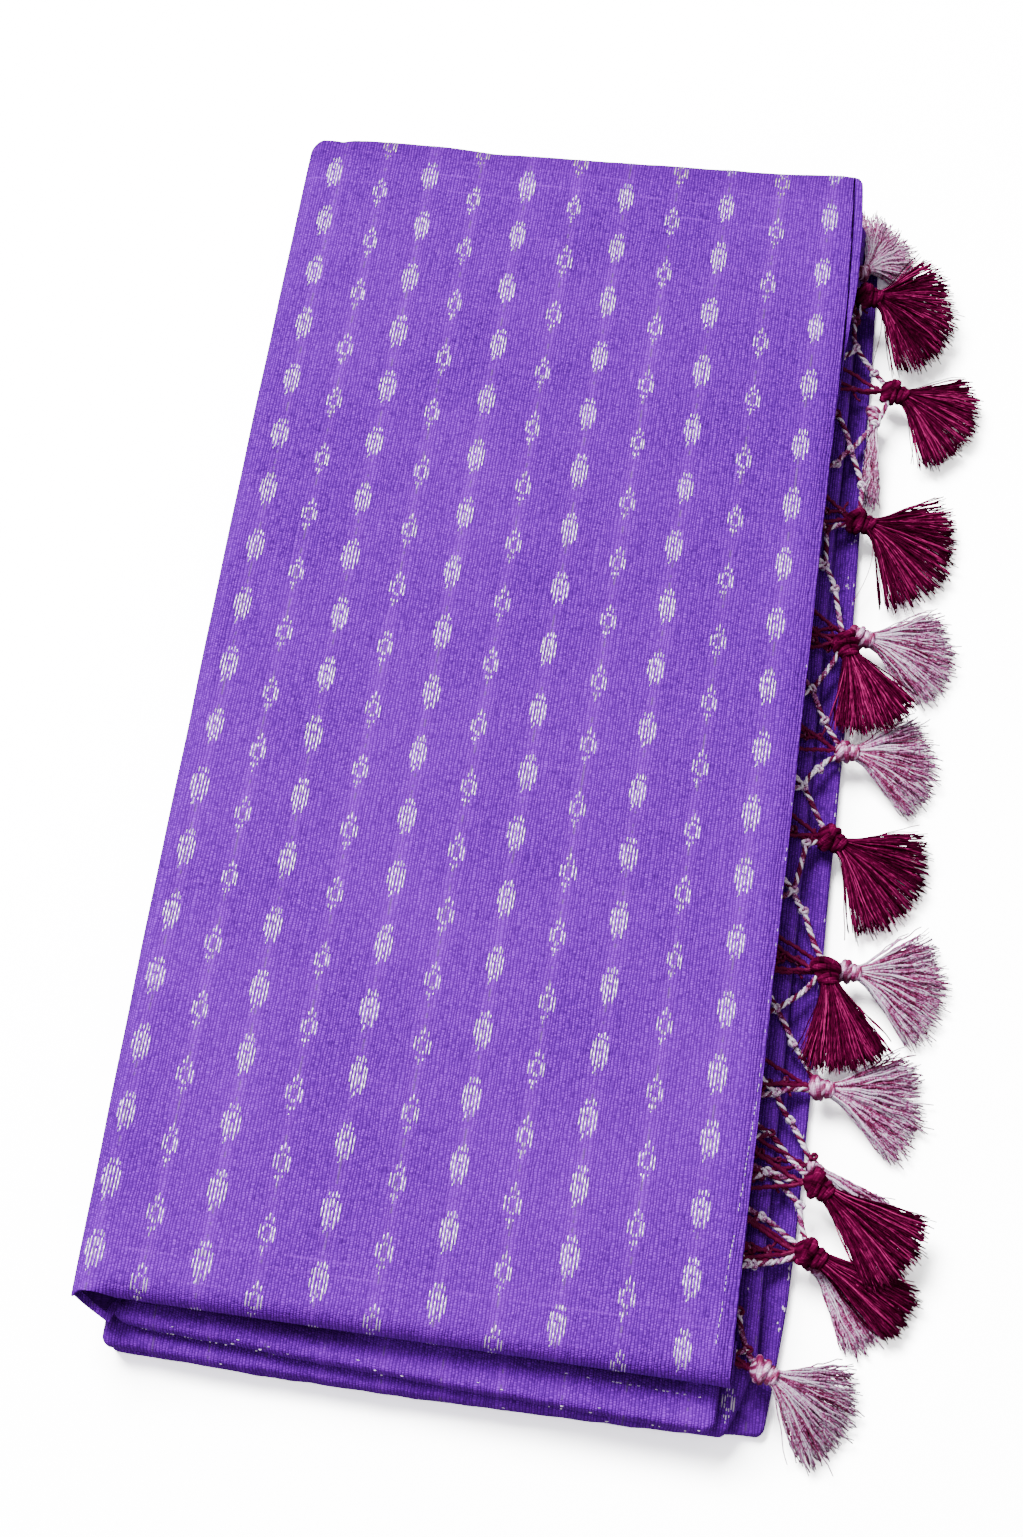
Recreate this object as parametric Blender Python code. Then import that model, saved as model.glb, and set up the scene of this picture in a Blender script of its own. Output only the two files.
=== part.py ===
"""A folded saree with a knotted, tasselled fringe, lying flat.

Sizes are in millimetres and turned into metres where a mesh is made. X runs
across the pack to the fringed side, Y away from the front folds and Z up. The
origin is on the flat underside, in the middle of the pack.
"""

import math

import bpy
import numpy as np

MM = 0.001

# Levels of the stack, from the surface it lies on.
CLEARANCE = 0.3
BASE_TOP = 5.0
LOWER_FOLD = (BASE_TOP + CLEARANCE, 12.3)
MIDDLE_FOLD = (LOWER_FOLD[1] + CLEARANCE, 19.2)
HEADER_LEVEL = 20.05
TOP_FOLD = (20.9, 31.6)
TOP_CROWN = 0.7
CLOTH_WALL = 1.5

# Corners of each folded stretch, counterclockwise: x, y, radius of the corner,
# and how far the side after it bows out.
BASE_CORNERS = (
    (-82.6, -206.9, 4.0, 2.2),
    (101.0, -206.6, 3.0, 4.2),
    (101.8, 208.7, 5.0, 0.0),
    (-85.0, 192.0, 5.0, 0.8),
)
LOWER_CORNERS = (
    (-84.0, -207.4, 5.0, 1.6),
    (91.0, -209.4, 3.0, 0.3),
    (97.1, -187.0, 9.0, -0.5),
    (96.9, 204.0, 5.0, 0.0),
    (-87.0, 190.0, 6.0, 0.6),
)
MIDDLE_CORNERS = (
    (-83.6, -200.2, 7.0, 1.6),
    (87.4, -210.6, 3.5, 0.4),
    (87.4, 201.0, 5.0, 0.0),
    (-86.0, 188.0, 6.0, 0.8),
)
FOLD_TAIL = 24.0
FOLD_STEPS = 7
ARC_STEPS = 4
SIDE_STEPS = 4
TIGHTEST_CORNER = 0.8

# The top stretch: its sides at the front and at the back, and its rolled ends.
TOP_LEFT = (-92.1, -92.8)
TOP_LEFT_BOW = 0.9
TOP_RIGHT = (89.4, 92.0)
TOP_FRONT = (-198.0, -199.4)
TOP_BACK = (196.9, 207.4)
TOP_ROLL = (TOP_FOLD[1] - TOP_FOLD[0]) / 2
TOP_EDGE_DROOP = 1.4
TOP_EDGE_REACH = 6.0
TOP_RETURN = 19.0
RETURN_SETBACK = 9.0
TOP_TAIL = 8.0
TOP_TAIL_LEAST = 0.4
TOP_TAIL_FROM = 0.8
TOP_CREASE_REACH = 18.0
TOP_CREASE_START = 2.0
TOP_CREASE_FADE = 8.0
LIP_REACH = 4.8
BACK_CORNER_TRIM = 3.0
LOWER_EDGE_SHIFT = 1.3
LOWER_EDGE_POWER = 8
TOP_EDGE_STATIONS = (0.0, 0.015, 0.04)
TOP_FIRST_STATION = 0.08
TOP_STATIONS = 9
TOP_ROLL_STATIONS = 8
TOP_ROWS = 9
TOP_END_ROWS = 6

# The stretch under the top one, seen in the slit along the fringed side.
UNDER_LEVEL = (TOP_FOLD[0], TOP_FOLD[0] + CLOTH_WALL)
UNDER_INNER = 62.0
UNDER_EDGE = ((-182.0, 90.0), (-60.0, 90.4), (60.0, 91.2), (150.0, 92.6), (190.4, 93.2))

# Slabs of the hidden layers: levels, sides, and how many layers their edges show.
SLABS = (
    # low, high, left, right, front, back, layers
    (1.8, 3.1, -74.0, 94.0, -197.0, 184.0, 1),
    (7.1, 10.5, -78.0, 90.0, -200.0, 182.0, 2),
    (14.4, 17.4, -78.0, 80.0, -190.0, 180.0, 2),
    (22.8, 29.4, -80.0, 86.0, -184.0, 179.0, 6),
)
WEB = (-51.0, 59.0, -170.0, 158.0)
SLAB_CORNER = 4.0
LAYER_GROOVE = 0.9

# The net: half widths of its cords and of the header strip, and its thickness.
CORD_HALF = 0.75
HEADER_HALF = 2.0
HEADER_X = 84.4
NET_THICK = 1.1
MITRE_LIMIT = 2.6
NEARLY_PARALLEL = 0.05
NET_FALL_X = (86.4, 90.0, 93.0, 97.0, 99.0, 101.0, 104.0)
NET_FALL_Z = (HEADER_LEVEL, 16.8, 14.2, 13.1, 11.8, 10.4, 9.9)

# Where the cords cross or bend: x, y.
CROSSINGS = {
    "edge_1": (92.4, 176.6),
    "knot_2": (96.0, 161.2),
    "cross_23": (96.9, 150.5),
    "left_23": (92.3, 145.8),
    "arc_3": (104.0, 143.5),
    "rise_3": (105.8, 124.0),
    "up_35": (92.9, 123.1),
    "cross_35": (98.4, 111.4),
    "down_35": (94.2, 104.4),
    "right_5": (103.3, 99.8),
    "left_5": (93.1, 79.6),
    "cross_56": (93.9, 66.0),
    "down_56": (97.7, 58.8),
    "cross_67": (93.7, 21.7),
    "down_67": (98.6, 12.2),
    "up_78": (98.2, -4.8),
    "cross_78": (94.3, -12.1),
    "up_89": (96.6, -30.3),
    "cross_89": (94.1, -46.5),
    "down_89": (97.9, -52.2),
    "cross_910": (92.6, -84.9),
    "down_910": (98.5, -94.1),
    "cross_1011": (95.1, -110.3),
    "down_1011": (100.1, -117.2),
    "knot_11": (94.5, -122.8),
    "cross_1112": (95.0, -134.1),
    "down_1112": (105.2, -141.6),
    "knot_12": (94.6, -147.5),
    "cross_1213": (93.4, -161.6),
    "bend_13": (90.8, -175.7),
    "knot_13": (94.3, -185.8),
}

# Cords from a crossing to the header, by the header's y.
HEADER_LEGS = (
    ("edge_1", 183.0), ("knot_2", 168.0), ("left_23", 138.5), ("up_35", 131.0),
    ("down_35", 97.0), ("left_5", 87.0), ("cross_56", 73.0), ("cross_56", 57.5),
    ("cross_67", 29.0), ("cross_67", 14.0), ("cross_78", -4.5), ("cross_78", -19.5),
    ("cross_89", -39.0), ("cross_89", -54.0), ("cross_910", -77.5), ("cross_910", -92.0),
    ("cross_1011", -103.5), ("cross_1011", -114.6), ("knot_11", -120.6), ("knot_11", -127.0),
    ("cross_1112", -132.4), ("cross_1112", -140.0), ("knot_12", -145.2), ("knot_12", -152.6),
    ("cross_1213", -158.2), ("cross_1213", -167.4), ("bend_13", -173.2), ("knot_13", -191.0),
)
HEADER_ENDS = (190.0, -197.0)

# Cords from one crossing to another.
NET_CORDS = (
    ("edge_1", "knot_2"), ("knot_2", "cross_23"), ("cross_23", "left_23"), ("cross_23", "arc_3"),
    ("up_35", "cross_35"), ("cross_35", "rise_3"), ("cross_35", "down_35"), ("cross_35", "right_5"),
    ("left_5", "cross_56"), ("cross_56", "down_56"), ("cross_67", "down_67"),
    ("up_78", "cross_78"), ("cross_89", "up_89"), ("cross_89", "down_89"),
    ("cross_910", "down_910"), ("cross_1011", "down_1011"), ("cross_1112", "down_1112"),
    ("bend_13", "knot_13"),
)

# Tassels: head x, y, z and radius; direction and spread of the skirt in degrees;
# length; height of the tips; columns of strands; and the crossings that hold it.
TASSELS = {
    "tassel_01": (101.2, 186.6, 11.2, 4.0, 60.0, 54.0, 25.5, 3.0, 7, ("edge_1",)),
    "tassel_02": (98.2, 169.1, 16.9, 4.2, -9.0, 98.0, 30.0, 8.0, 7, ("edge_1", "knot_2")),
    "tassel_03": (110.2, 136.9, 10.5, 4.2, -20.4, 80.0, 28.5, 5.0, 7, ("arc_3", "rise_3")),
    "tassel_04": (103.8, 131.4, 7.8, 2.5, -83.0, 14.0, 31.0, 6.5, 4, ()),
    "tassel_05": (103.1, 86.1, 10.5, 4.2, -20.9, 86.0, 31.5, 4.0, 7, ("right_5", "left_5")),
    "tassel_06": (102.4, 39.0, 14.8, 4.2, -62.5, 56.0, 29.5, 12.0, 7, ("down_56", "cross_67")),
    "tassel_07": (106.6, 44.0, 9.8, 3.8, -8.9, 58.0, 30.0, 3.0, 7, ()),
    "tassel_08": (105.7, 3.7, 9.7, 4.0, -6.3, 62.0, 28.0, 3.0, 7, ("down_67", "up_78")),
    "tassel_09": (103.5, -26.4, 10.5, 4.2, -30.4, 74.0, 31.0, 4.0, 7, ("cross_78", "up_89")),
    "tassel_10": (106.0, -70.5, 14.8, 4.2, -72.1, 50.0, 30.0, 12.0, 7, ("down_89", "cross_910")),
    "tassel_11": (112.1, -68.5, 9.6, 3.5, -9.5, 62.0, 29.5, 3.0, 7, ()),
    "tassel_12": (107.3, -105.7, 9.7, 4.0, -8.4, 56.0, 30.0, 3.0, 7, ("down_910", "cross_1011")),
    "tassel_13": (107.9, -126.9, 7.5, 3.0, -23.0, 18.0, 23.5, 3.0, 4, ("down_1011",)),
    "tassel_14": (108.8, -136.2, 15.0, 4.2, -34.0, 48.0, 33.5, 11.2, 7, ("knot_11", "cross_1112")),
    "tassel_15": (108.5, -155.4, 12.0, 4.2, -23.5, 32.0, 32.0, 4.5, 7,
                  ("down_1112", "knot_12", "cross_1213")),
    "tassel_16": (111.1, -155.9, 5.0, 3.2, -51.9, 26.0, 26.5, 2.2, 4, ()),
    "tassel_17": (97.9, -191.4, 16.9, 4.2, -26.3, 60.0, 27.0, 3.0, 7, ("knot_13",)),
}
MIXED_TASSELS = (1, 4, 7, 8, 11, 12, 13, 16, 17)
KNOT_RADIUS = 4.2
HEAD_OUTLINE = ((-0.6, 0.8), (0.05, 1.0), (0.68, 0.74), (0.98, 0.5))
SKIRT_START = 7.6
SKIRT_SPREAD = 0.85
SKIRT_RISE = 0.4
SKIRT_HALF_THICK = 1.3
SKIRT_LEAST_HALF = 2.2
STRAND_INSET = 0.24
STRAND_MID_SCALE = 0.85
STRAND_TIP_SCALE = 0.7
STRAND_ARCH = 0.16
STRAND_PARTS = (0.67, 0.33)
STRAND_TIP_RISES = (-0.2, 0.9)
EDGE_SHORTER = 0.05
TIP_UNEVEN = 0.03
TIP_WAVES = 9.0

PURPLE = (0.27, 0.13, 0.58)
DEEP_PURPLE = (0.16, 0.07, 0.40)
MAROON = (0.13, 0.006, 0.035)
MAROON_AND_SILVER = (0.42, 0.27, 0.38)


def clear_scene():
    for old in list(bpy.data.objects):
        bpy.data.objects.remove(old, do_unlink=True)


def fabric(name, colour, roughness, metallic=0.0):
    """A plain finish for one stretch of cloth or thread."""
    material = bpy.data.materials.new(name)
    material.use_nodes = True
    shader = material.node_tree.nodes["Principled BSDF"]
    shader.inputs["Base Color"].default_value = (*colour, 1.0)
    shader.inputs["Roughness"].default_value = roughness
    shader.inputs["Metallic"].default_value = metallic
    return material


def add_solid(name, points, faces, material, wall=None):
    """Makes an object from points in millimetres. A wall thickens it inwards."""
    mesh = bpy.data.meshes.new(name)
    mesh.from_pydata((np.asarray(points, float) * MM).tolist(), [], faces)
    mesh.materials.append(material)
    mesh.shade_smooth()
    mesh.set_sharp_from_angle(angle=math.radians(40))
    solid = bpy.data.objects.new(name, mesh)
    bpy.context.scene.collection.objects.link(solid)
    if wall:
        thickness = solid.modifiers.new("Wall", "SOLIDIFY")
        thickness.thickness = wall * MM
        thickness.offset = -1.0
        thickness.use_rim = True
    return solid


def grid_faces(rows, columns, closed):
    """Quads of a grid stored row by row. A closed grid joins its last column to its first."""
    across = columns if closed else columns - 1
    faces = []
    for row in range(rows - 1):
        for column in range(across):
            beside = (column + 1) % columns
            near, far = row * columns, (row + 1) * columns
            faces.append((near + column, far + column, far + beside, near + beside))
    return faces


def rounded_outline(corners, inset):
    """One loop round a stretch, moved in by the inset: arcs at the corners, bowed sides between."""
    xy = np.array([corner[:2] for corner in corners], float)
    count = len(corners)
    along = np.roll(xy, -1, axis=0) - xy
    along /= np.linalg.norm(along, axis=1)[:, None]
    outward = np.stack([along[:, 1], -along[:, 0]], axis=1)

    def corner_at(index, moved_in):
        """Where the sides before and after a corner meet when both are moved in."""
        before, after = outward[index - 1], outward[index]
        reach = np.array([before @ xy[index] - moved_in, after @ xy[index] - moved_in])
        return np.linalg.solve(np.array([before, after]), reach)

    arcs = []
    for index in range(count):
        radius = max(corners[index][2] - inset, TIGHTEST_CORNER)
        centre = corner_at(index, inset + radius)
        start = math.atan2(outward[index - 1][1], outward[index - 1][0])
        end = math.atan2(outward[index][1], outward[index][0])
        angles = np.linspace(start, start + (end - start) % (2 * math.pi), ARC_STEPS)
        arcs.append(centre + radius * np.stack([np.cos(angles), np.sin(angles)], axis=1))
    loop = []
    for index in range(count):
        loop.append(arcs[index])
        first, last = arcs[index][-1], arcs[(index + 1) % count][0]
        part = (np.arange(SIDE_STEPS) + 1.0)[:, None] / (SIDE_STEPS + 1.0)
        bow = corners[index][3] * 4 * part * (1 - part)
        loop.append(first + (last - first) * part + outward[index] * bow)
    return np.concatenate(loop)


def ring(corners, inset, z):
    loop = rounded_outline(corners, inset)
    return np.column_stack([loop, np.full(len(loop), z)])


def fold_profile(low, high):
    """Inset and height from the upper side, round the folded edge, to the lower side."""
    radius = (high - low) / 2
    turn = np.linspace(0, math.pi, FOLD_STEPS)
    inset = radius - radius * np.sin(turn)
    height = (high + low) / 2 + radius * np.cos(turn)
    return list(zip(inset, height))


def folded_stretch(name, corners, levels, material):
    """Cloth folded over all round: an upper side, a rounded edge and a lower side."""
    low, high = levels
    inner = (high - low) / 2 + FOLD_TAIL
    profile = [(inner, high), *fold_profile(low, high), (inner, low)]
    rings = [ring(corners, inset, height) for inset, height in profile]
    faces = grid_faces(len(rings), len(rings[0]), closed=True)
    return add_solid(name, np.concatenate(rings), faces, material, CLOTH_WALL)


def base_stretch(material):
    """The lowest stretch: a flat underside, a rounded edge and an upper side."""
    inner = BASE_TOP / 2 + FOLD_TAIL
    profile = [(inner, BASE_TOP), *fold_profile(0.0, BASE_TOP)]
    rings = [ring(BASE_CORNERS, inset, height) for inset, height in profile]
    count = len(rings[0])
    faces = grid_faces(len(rings), count, closed=True)
    last = (len(rings) - 1) * count
    faces.append(tuple(range(last + count - 1, last - 1, -1)))
    return add_solid("base_stretch", np.concatenate(rings), faces, material, CLOTH_WALL)


def hidden_layers(material):
    """The layers nobody sees as one solid: grooved slabs joined by a narrower web."""
    def slab_ring(sides, inset, z):
        left, right, front, back = sides
        corners = (
            (left, front, SLAB_CORNER, 0.0), (right, front, SLAB_CORNER, 0.0),
            (right, back, SLAB_CORNER, 0.0), (left, back, SLAB_CORNER, 0.0),
        )
        return ring(corners, inset, z)

    rings = []
    for number, (low, high, left, right, front, back, layers) in enumerate(SLABS):
        sides = (left, right, front, back)
        if number:
            rings.append(slab_ring(WEB, 0.0, low))
        for step in range(2 * layers + 1):
            inset = LAYER_GROOVE if step % 2 == 0 else 0.0
            rings.append(slab_ring(sides, inset, low + (high - low) * step / (2 * layers)))
        if number < len(SLABS) - 1:
            rings.append(slab_ring(WEB, 0.0, high))
    rings.reverse()
    count = len(rings[0])
    faces = grid_faces(len(rings), count, closed=True)
    faces.append(tuple(range(count)))
    last = (len(rings) - 1) * count
    faces.append(tuple(range(last + count - 1, last - 1, -1)))
    return add_solid("hidden_layers", np.concatenate(rings), faces, material)


def smooth_step(value):
    value = np.clip(value, 0.0, 1.0)
    return value * value * (3 - 2 * value)


def top_section():
    """Stations across the top stretch, from its open edge, over the top and round the left roll.

    For each: how far across it is (1 where the roll starts), its turn round the
    roll, and how far along the return under it.
    """
    across = np.concatenate([TOP_EDGE_STATIONS, np.linspace(TOP_FIRST_STATION, 1.0, TOP_STATIONS)])
    turn = np.linspace(0, math.pi, TOP_ROLL_STATIONS + 1)[1:]
    stations = len(across) + len(turn) + 2
    across = np.concatenate([across, np.ones(stations - len(across))])
    turn = np.concatenate([np.zeros(stations - len(turn) - 2), turn, [math.pi, math.pi]])
    under = np.zeros(stations)
    under[-2:] = (TOP_RETURN / 2, TOP_RETURN)
    return across, turn, under


def top_stretch(material):
    """The stretch that shows most: open at the fringed side, rolled under at the other three.

    The roll at the front and at the back fades out round the left roll, so the
    left fold's layers stay open at its ends.
    """
    across, turn, under = top_section()
    width = TOP_RIGHT[0] - TOP_LEFT[0]
    from_left = (1 - across) * width
    start = TOP_CREASE_START - TOP_CREASE_FADE * turn
    curl = math.pi * smooth_step((from_left + start) / TOP_CREASE_REACH)
    lip = LIP_REACH * (1 - np.cos(turn)) / 2 - RETURN_SETBACK * smooth_step(under / TOP_RETURN)
    trim = BACK_CORNER_TRIM * np.sin(turn) ** 2
    front = TOP_FRONT[0] + (TOP_FRONT[1] - TOP_FRONT[0]) * (1 - across) - lip
    back = TOP_BACK[0] + (TOP_BACK[1] - TOP_BACK[0]) * (1 - across) - trim
    flat = TOP_ROLL * (1 - np.sin(np.minimum(curl, math.pi / 2)))
    crown = TOP_CROWN * (1 - (2 * across - 1) ** 2)
    droop = TOP_EDGE_DROOP * (1 - smooth_step(across * width / TOP_EDGE_REACH)) ** 2
    curled = smooth_step((curl / math.pi - TOP_TAIL_FROM) / (1 - TOP_TAIL_FROM))
    tail = TOP_TAIL * curled + TOP_TAIL_LEAST

    rows = []
    for edge, inward in ((front, 1.0), (back, -1.0)):
        start = edge + inward * TOP_ROLL
        one_end = []
        for step in range(TOP_END_ROWS + 1):
            gone = (flat + TOP_ROLL * curl) * step / TOP_END_ROWS
            angle = np.maximum(gone - flat, 0.0) / TOP_ROLL
            ahead = np.minimum(gone, flat) + TOP_ROLL * np.sin(angle)
            one_end.append((start - inward * ahead, TOP_ROLL * (1 - np.cos(angle)), angle))
        y, drop, angle = one_end[-1]
        one_end.append((y - inward * tail * np.cos(angle), drop + tail * np.sin(angle), angle))
        rows.extend(one_end[::-1] if inward > 0 else one_end)
        if inward > 0:
            for part in np.linspace(0, 1, TOP_ROWS + 2)[1:-1]:
                y = (front + TOP_ROLL) * (1 - part) + (back - TOP_ROLL) * part
                rows.append((y, 0.0 * curl, 0.0 * curl))

    points = []
    for y, drop, angle in rows:
        along = (y - TOP_FRONT[0]) / (TOP_BACK[1] - TOP_FRONT[0])
        left = TOP_LEFT[0] + (TOP_LEFT[1] - TOP_LEFT[0]) * along - TOP_LEFT_BOW * 4 * along * (1 - along)
        right = TOP_RIGHT[0] + (TOP_RIGHT[1] - TOP_RIGHT[0]) * along
        x = right + across * (left + TOP_ROLL - right) - (TOP_ROLL - drop) * np.sin(turn) + under
        x = x + LOWER_EDGE_SHIFT * (1 - across) ** LOWER_EDGE_POWER * (1 - np.cos(angle)) / 2
        z = TOP_FOLD[1] + crown - droop - drop - (TOP_ROLL - drop) * (1 - np.cos(turn))
        z = z - crown * (1 - np.cos(angle)) / 2
        points.append(np.column_stack([x, y, np.maximum(z, TOP_FOLD[0])]))
    faces = grid_faces(len(rows), len(across), closed=False)
    return add_solid("top_stretch", np.concatenate(points), faces, material, CLOTH_WALL)


def under_stretch(material):
    """The stretch that the open edge of the top one lies on."""
    points = []
    for y, edge in UNDER_EDGE:
        for x in np.linspace(UNDER_INNER, edge, 3):
            points.append((x, y, UNDER_LEVEL[1]))
    faces = grid_faces(len(UNDER_EDGE), 3, closed=False)
    faces = [face[::-1] for face in faces]
    return add_solid("under_stretch", points, faces, material, CLOTH_WALL)


def net_graph():
    """Points of the net with their heights, and its cords with their half widths."""
    places = {}
    for name, (x, y) in CROSSINGS.items():
        places[name] = (x, y, float(np.interp(x, NET_FALL_X, NET_FALL_Z)))
    cords = [(first, last, CORD_HALF) for first, last in NET_CORDS]
    stops = []
    for name, y in HEADER_LEGS:
        stop = f"header_{y:.1f}"
        places[stop] = (HEADER_X, y, HEADER_LEVEL)
        stops.append((y, stop))
        cords.append((name, stop, CORD_HALF))
    for y in HEADER_ENDS:
        stop = f"header_{y:.1f}"
        places[stop] = (HEADER_X, y, HEADER_LEVEL)
        stops.append((y, stop))
    stops.sort()
    for (_, first), (_, last) in zip(stops, stops[1:]):
        cords.append((first, last, HEADER_HALF))
    for tassel, (x, y, z, radius, *_, holders) in TASSELS.items():
        for holder in holders:
            reach = np.array([places[holder][0] - x, places[holder][1] - y])
            reach *= (radius + CLEARANCE) / np.linalg.norm(reach)
            end = f"{tassel}_{holder}"
            places[end] = (x + reach[0], y + reach[1], z)
            cords.append((holder, end, CORD_HALF))
    return places, cords


def fringe_net(material):
    """The knotted net as one flat-sided solid: each cord a strip, mitred where cords meet."""
    places, cords = net_graph()
    meeting = {name: [] for name in places}
    for number, (first, last, half) in enumerate(cords):
        for here, there in ((first, last), (last, first)):
            step = np.subtract(places[there][:2], places[here][:2])
            meeting[here].append((math.atan2(step[1], step[0]), number, half))

    points = []
    corner = {}

    def add_corner(name, xy):
        points.append((*xy, places[name][2] + NET_THICK / 2))
        points.append((*xy, places[name][2] - NET_THICK / 2))
        return len(points) - 2

    faces = []
    for name, ends in meeting.items():
        ends.sort()
        here = np.array(places[name][:2])
        loop = []
        for index, (angle, number, half) in enumerate(ends):
            after_angle, after, after_half = ends[(index + 1) % len(ends)]
            ahead = np.array([math.cos(angle), math.sin(angle)])
            left = np.array([-ahead[1], ahead[0]])
            if len(ends) == 1:
                corner[name, number, "left"] = add_corner(name, here + half * left)
                corner[name, number, "right"] = add_corner(name, here - half * left)
                a, b = corner[name, number, "left"], corner[name, number, "right"]
                faces.append((a + 1, b + 1, b, a))
                continue
            after_ahead = np.array([math.cos(after_angle), math.sin(after_angle)])
            after_left = np.array([-after_ahead[1], after_ahead[0]])
            sides = np.column_stack([ahead, -after_ahead])
            if abs(np.linalg.det(sides)) < NEARLY_PARALLEL:
                spot = here + max(half, after_half) * left
            else:
                reach = np.linalg.solve(sides, -after_half * after_left - half * left)[0]
                limit = MITRE_LIMIT * max(half, after_half)
                spot = here + half * left + np.clip(reach, -limit, limit) * ahead
            shared = add_corner(name, spot)
            corner[name, number, "left"] = shared
            corner[name, after, "right"] = shared
            loop.append(shared)
        if len(loop) > 2:
            faces.append(tuple(loop))
            faces.append(tuple(index + 1 for index in reversed(loop)))
    for number, (first, last, _) in enumerate(cords):
        a, b = corner[first, number, "right"], corner[first, number, "left"]
        c, d = corner[last, number, "right"], corner[last, number, "left"]
        faces.append((a, d, c, b))
        faces.append((b + 1, c + 1, d + 1, a + 1))
        faces.append((a + 1, d + 1, d, a))
        faces.append((c + 1, b + 1, b, c))
    return add_solid("fringe_net", points, faces, material)


def tassel(name, material):
    """A knotted head, a neck and a flared skirt whose end splits into strands."""
    x, y, z, radius, heading, spread, length, tip_z, columns, _ = TASSELS[name]
    head = np.array([x, y, z])
    heading, half_spread = math.radians(heading), math.radians(spread) / 2
    row = columns + 1
    root = np.linspace(-1, 1, row)
    slope = (tip_z - z) / length

    def place(forward, sideways, rise, angle=heading):
        """A point given ahead of, beside and above the head."""
        ahead = np.array([math.cos(angle), math.sin(angle), 0.0])
        beside = np.array([-ahead[1], ahead[0], 0.0])
        return head + forward * ahead + sideways * beside + np.array([0.0, 0.0, rise])

    points = [place(-radius, 0.0, 0.0)]
    turns = (np.arange(2 * row) + 0.5) * math.pi / row
    for ahead, size in HEAD_OUTLINE:
        for turn in turns:
            sideways = -math.cos(turn) * size * radius
            points.append(place(ahead * radius, sideways, math.sin(turn) * size * radius))
    reach = SKIRT_START * radius / KNOT_RADIUS
    half_width = reach * math.sin(half_spread * SKIRT_SPREAD)
    for side, order in ((1.0, root), (-1.0, root[::-1])):
        for part in order:
            angle = part * half_spread * SKIRT_SPREAD
            sideways = part * max(half_width, SKIRT_LEAST_HALF)
            rise = slope * reach * SKIRT_RISE + side * SKIRT_HALF_THICK
            points.append(place(reach * math.cos(angle), sideways, rise))

    around = 2 * row
    faces = [(0, 1 + turn, 1 + (turn + 1) % around) for turn in range(around)]
    for quad in grid_faces(len(HEAD_OUTLINE) + 1, around, closed=True):
        faces.append(tuple(index + 1 for index in quad))
    first_top = 1 + len(HEAD_OUTLINE) * around
    first_low = first_top + around - 1

    for column in range(columns):
        upper = (first_top + column, first_top + column + 1)
        lower = (first_low - column, first_low - column - 1)
        for cell in ((lower[0], lower[1], upper[1]), (lower[0], upper[1], upper[0])):
            raised = cell[1] == upper[1]
            corners = np.array([points[index] for index in cell])
            middle = corners.mean(axis=0)
            part = (column + STRAND_PARTS[raised]) / columns * 2 - 1
            angle = heading + part * half_spread
            uneven = TIP_UNEVEN * math.cos(TIP_WAVES * part) - EDGE_SHORTER * abs(part)
            reach_out = length * (1 + uneven)
            rise = tip_z - z + STRAND_TIP_RISES[raised]
            tip = place(reach_out, 0.0, rise, angle)
            halfway = middle + (tip - middle) * 0.5
            halfway[2] += STRAND_ARCH * (z - tip_z)
            inner = middle + (corners - middle) * (1 - STRAND_INSET)
            bent = halfway + (corners - middle) * STRAND_MID_SCALE * (1 - STRAND_INSET)
            ended = tip + (corners - middle) * STRAND_TIP_SCALE * (1 - STRAND_INSET)
            loops = [cell]
            for loop in (inner, bent, ended):
                loops.append(tuple(range(len(points), len(points) + 3)))
                points.extend(loop)
            for near, far in zip(loops, loops[1:]):
                for index in range(3):
                    beside = (index + 1) % 3
                    faces.append((near[index], near[beside], far[beside], far[index]))
            faces.append(loops[-1])
    return add_solid(name, points, faces, material)


def main():
    clear_scene()
    base_stretch(fabric("lower cloth", DEEP_PURPLE, 0.6))
    folded_stretch("lower_stretch", LOWER_CORNERS, LOWER_FOLD, fabric("third fold cloth", PURPLE, 0.6))
    folded_stretch("middle_stretch", MIDDLE_CORNERS, MIDDLE_FOLD, fabric("second fold cloth", PURPLE, 0.6))
    hidden_layers(fabric("hidden cloth", DEEP_PURPLE, 0.7))
    top_stretch(fabric("top cloth", PURPLE, 0.6))
    under_stretch(fabric("under cloth", DEEP_PURPLE, 0.6))
    fringe_net(fabric("net cords", MAROON_AND_SILVER, 0.5))
    for number, name in enumerate(TASSELS, start=1):
        mixed = number in MIXED_TASSELS
        colour = MAROON_AND_SILVER if mixed else MAROON
        tassel(name, fabric(f"{name} thread", colour, 0.45))


main()
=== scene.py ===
"""Finish of the folded saree: its woven cloth, its buttas, its knotted net and its tassels.

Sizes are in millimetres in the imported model's own frame, and turned into metres
where a mesh is made. X runs across the pack to the fringed side, Y away from
the front folds and Z up.
"""

import math
from collections import namedtuple

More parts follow.
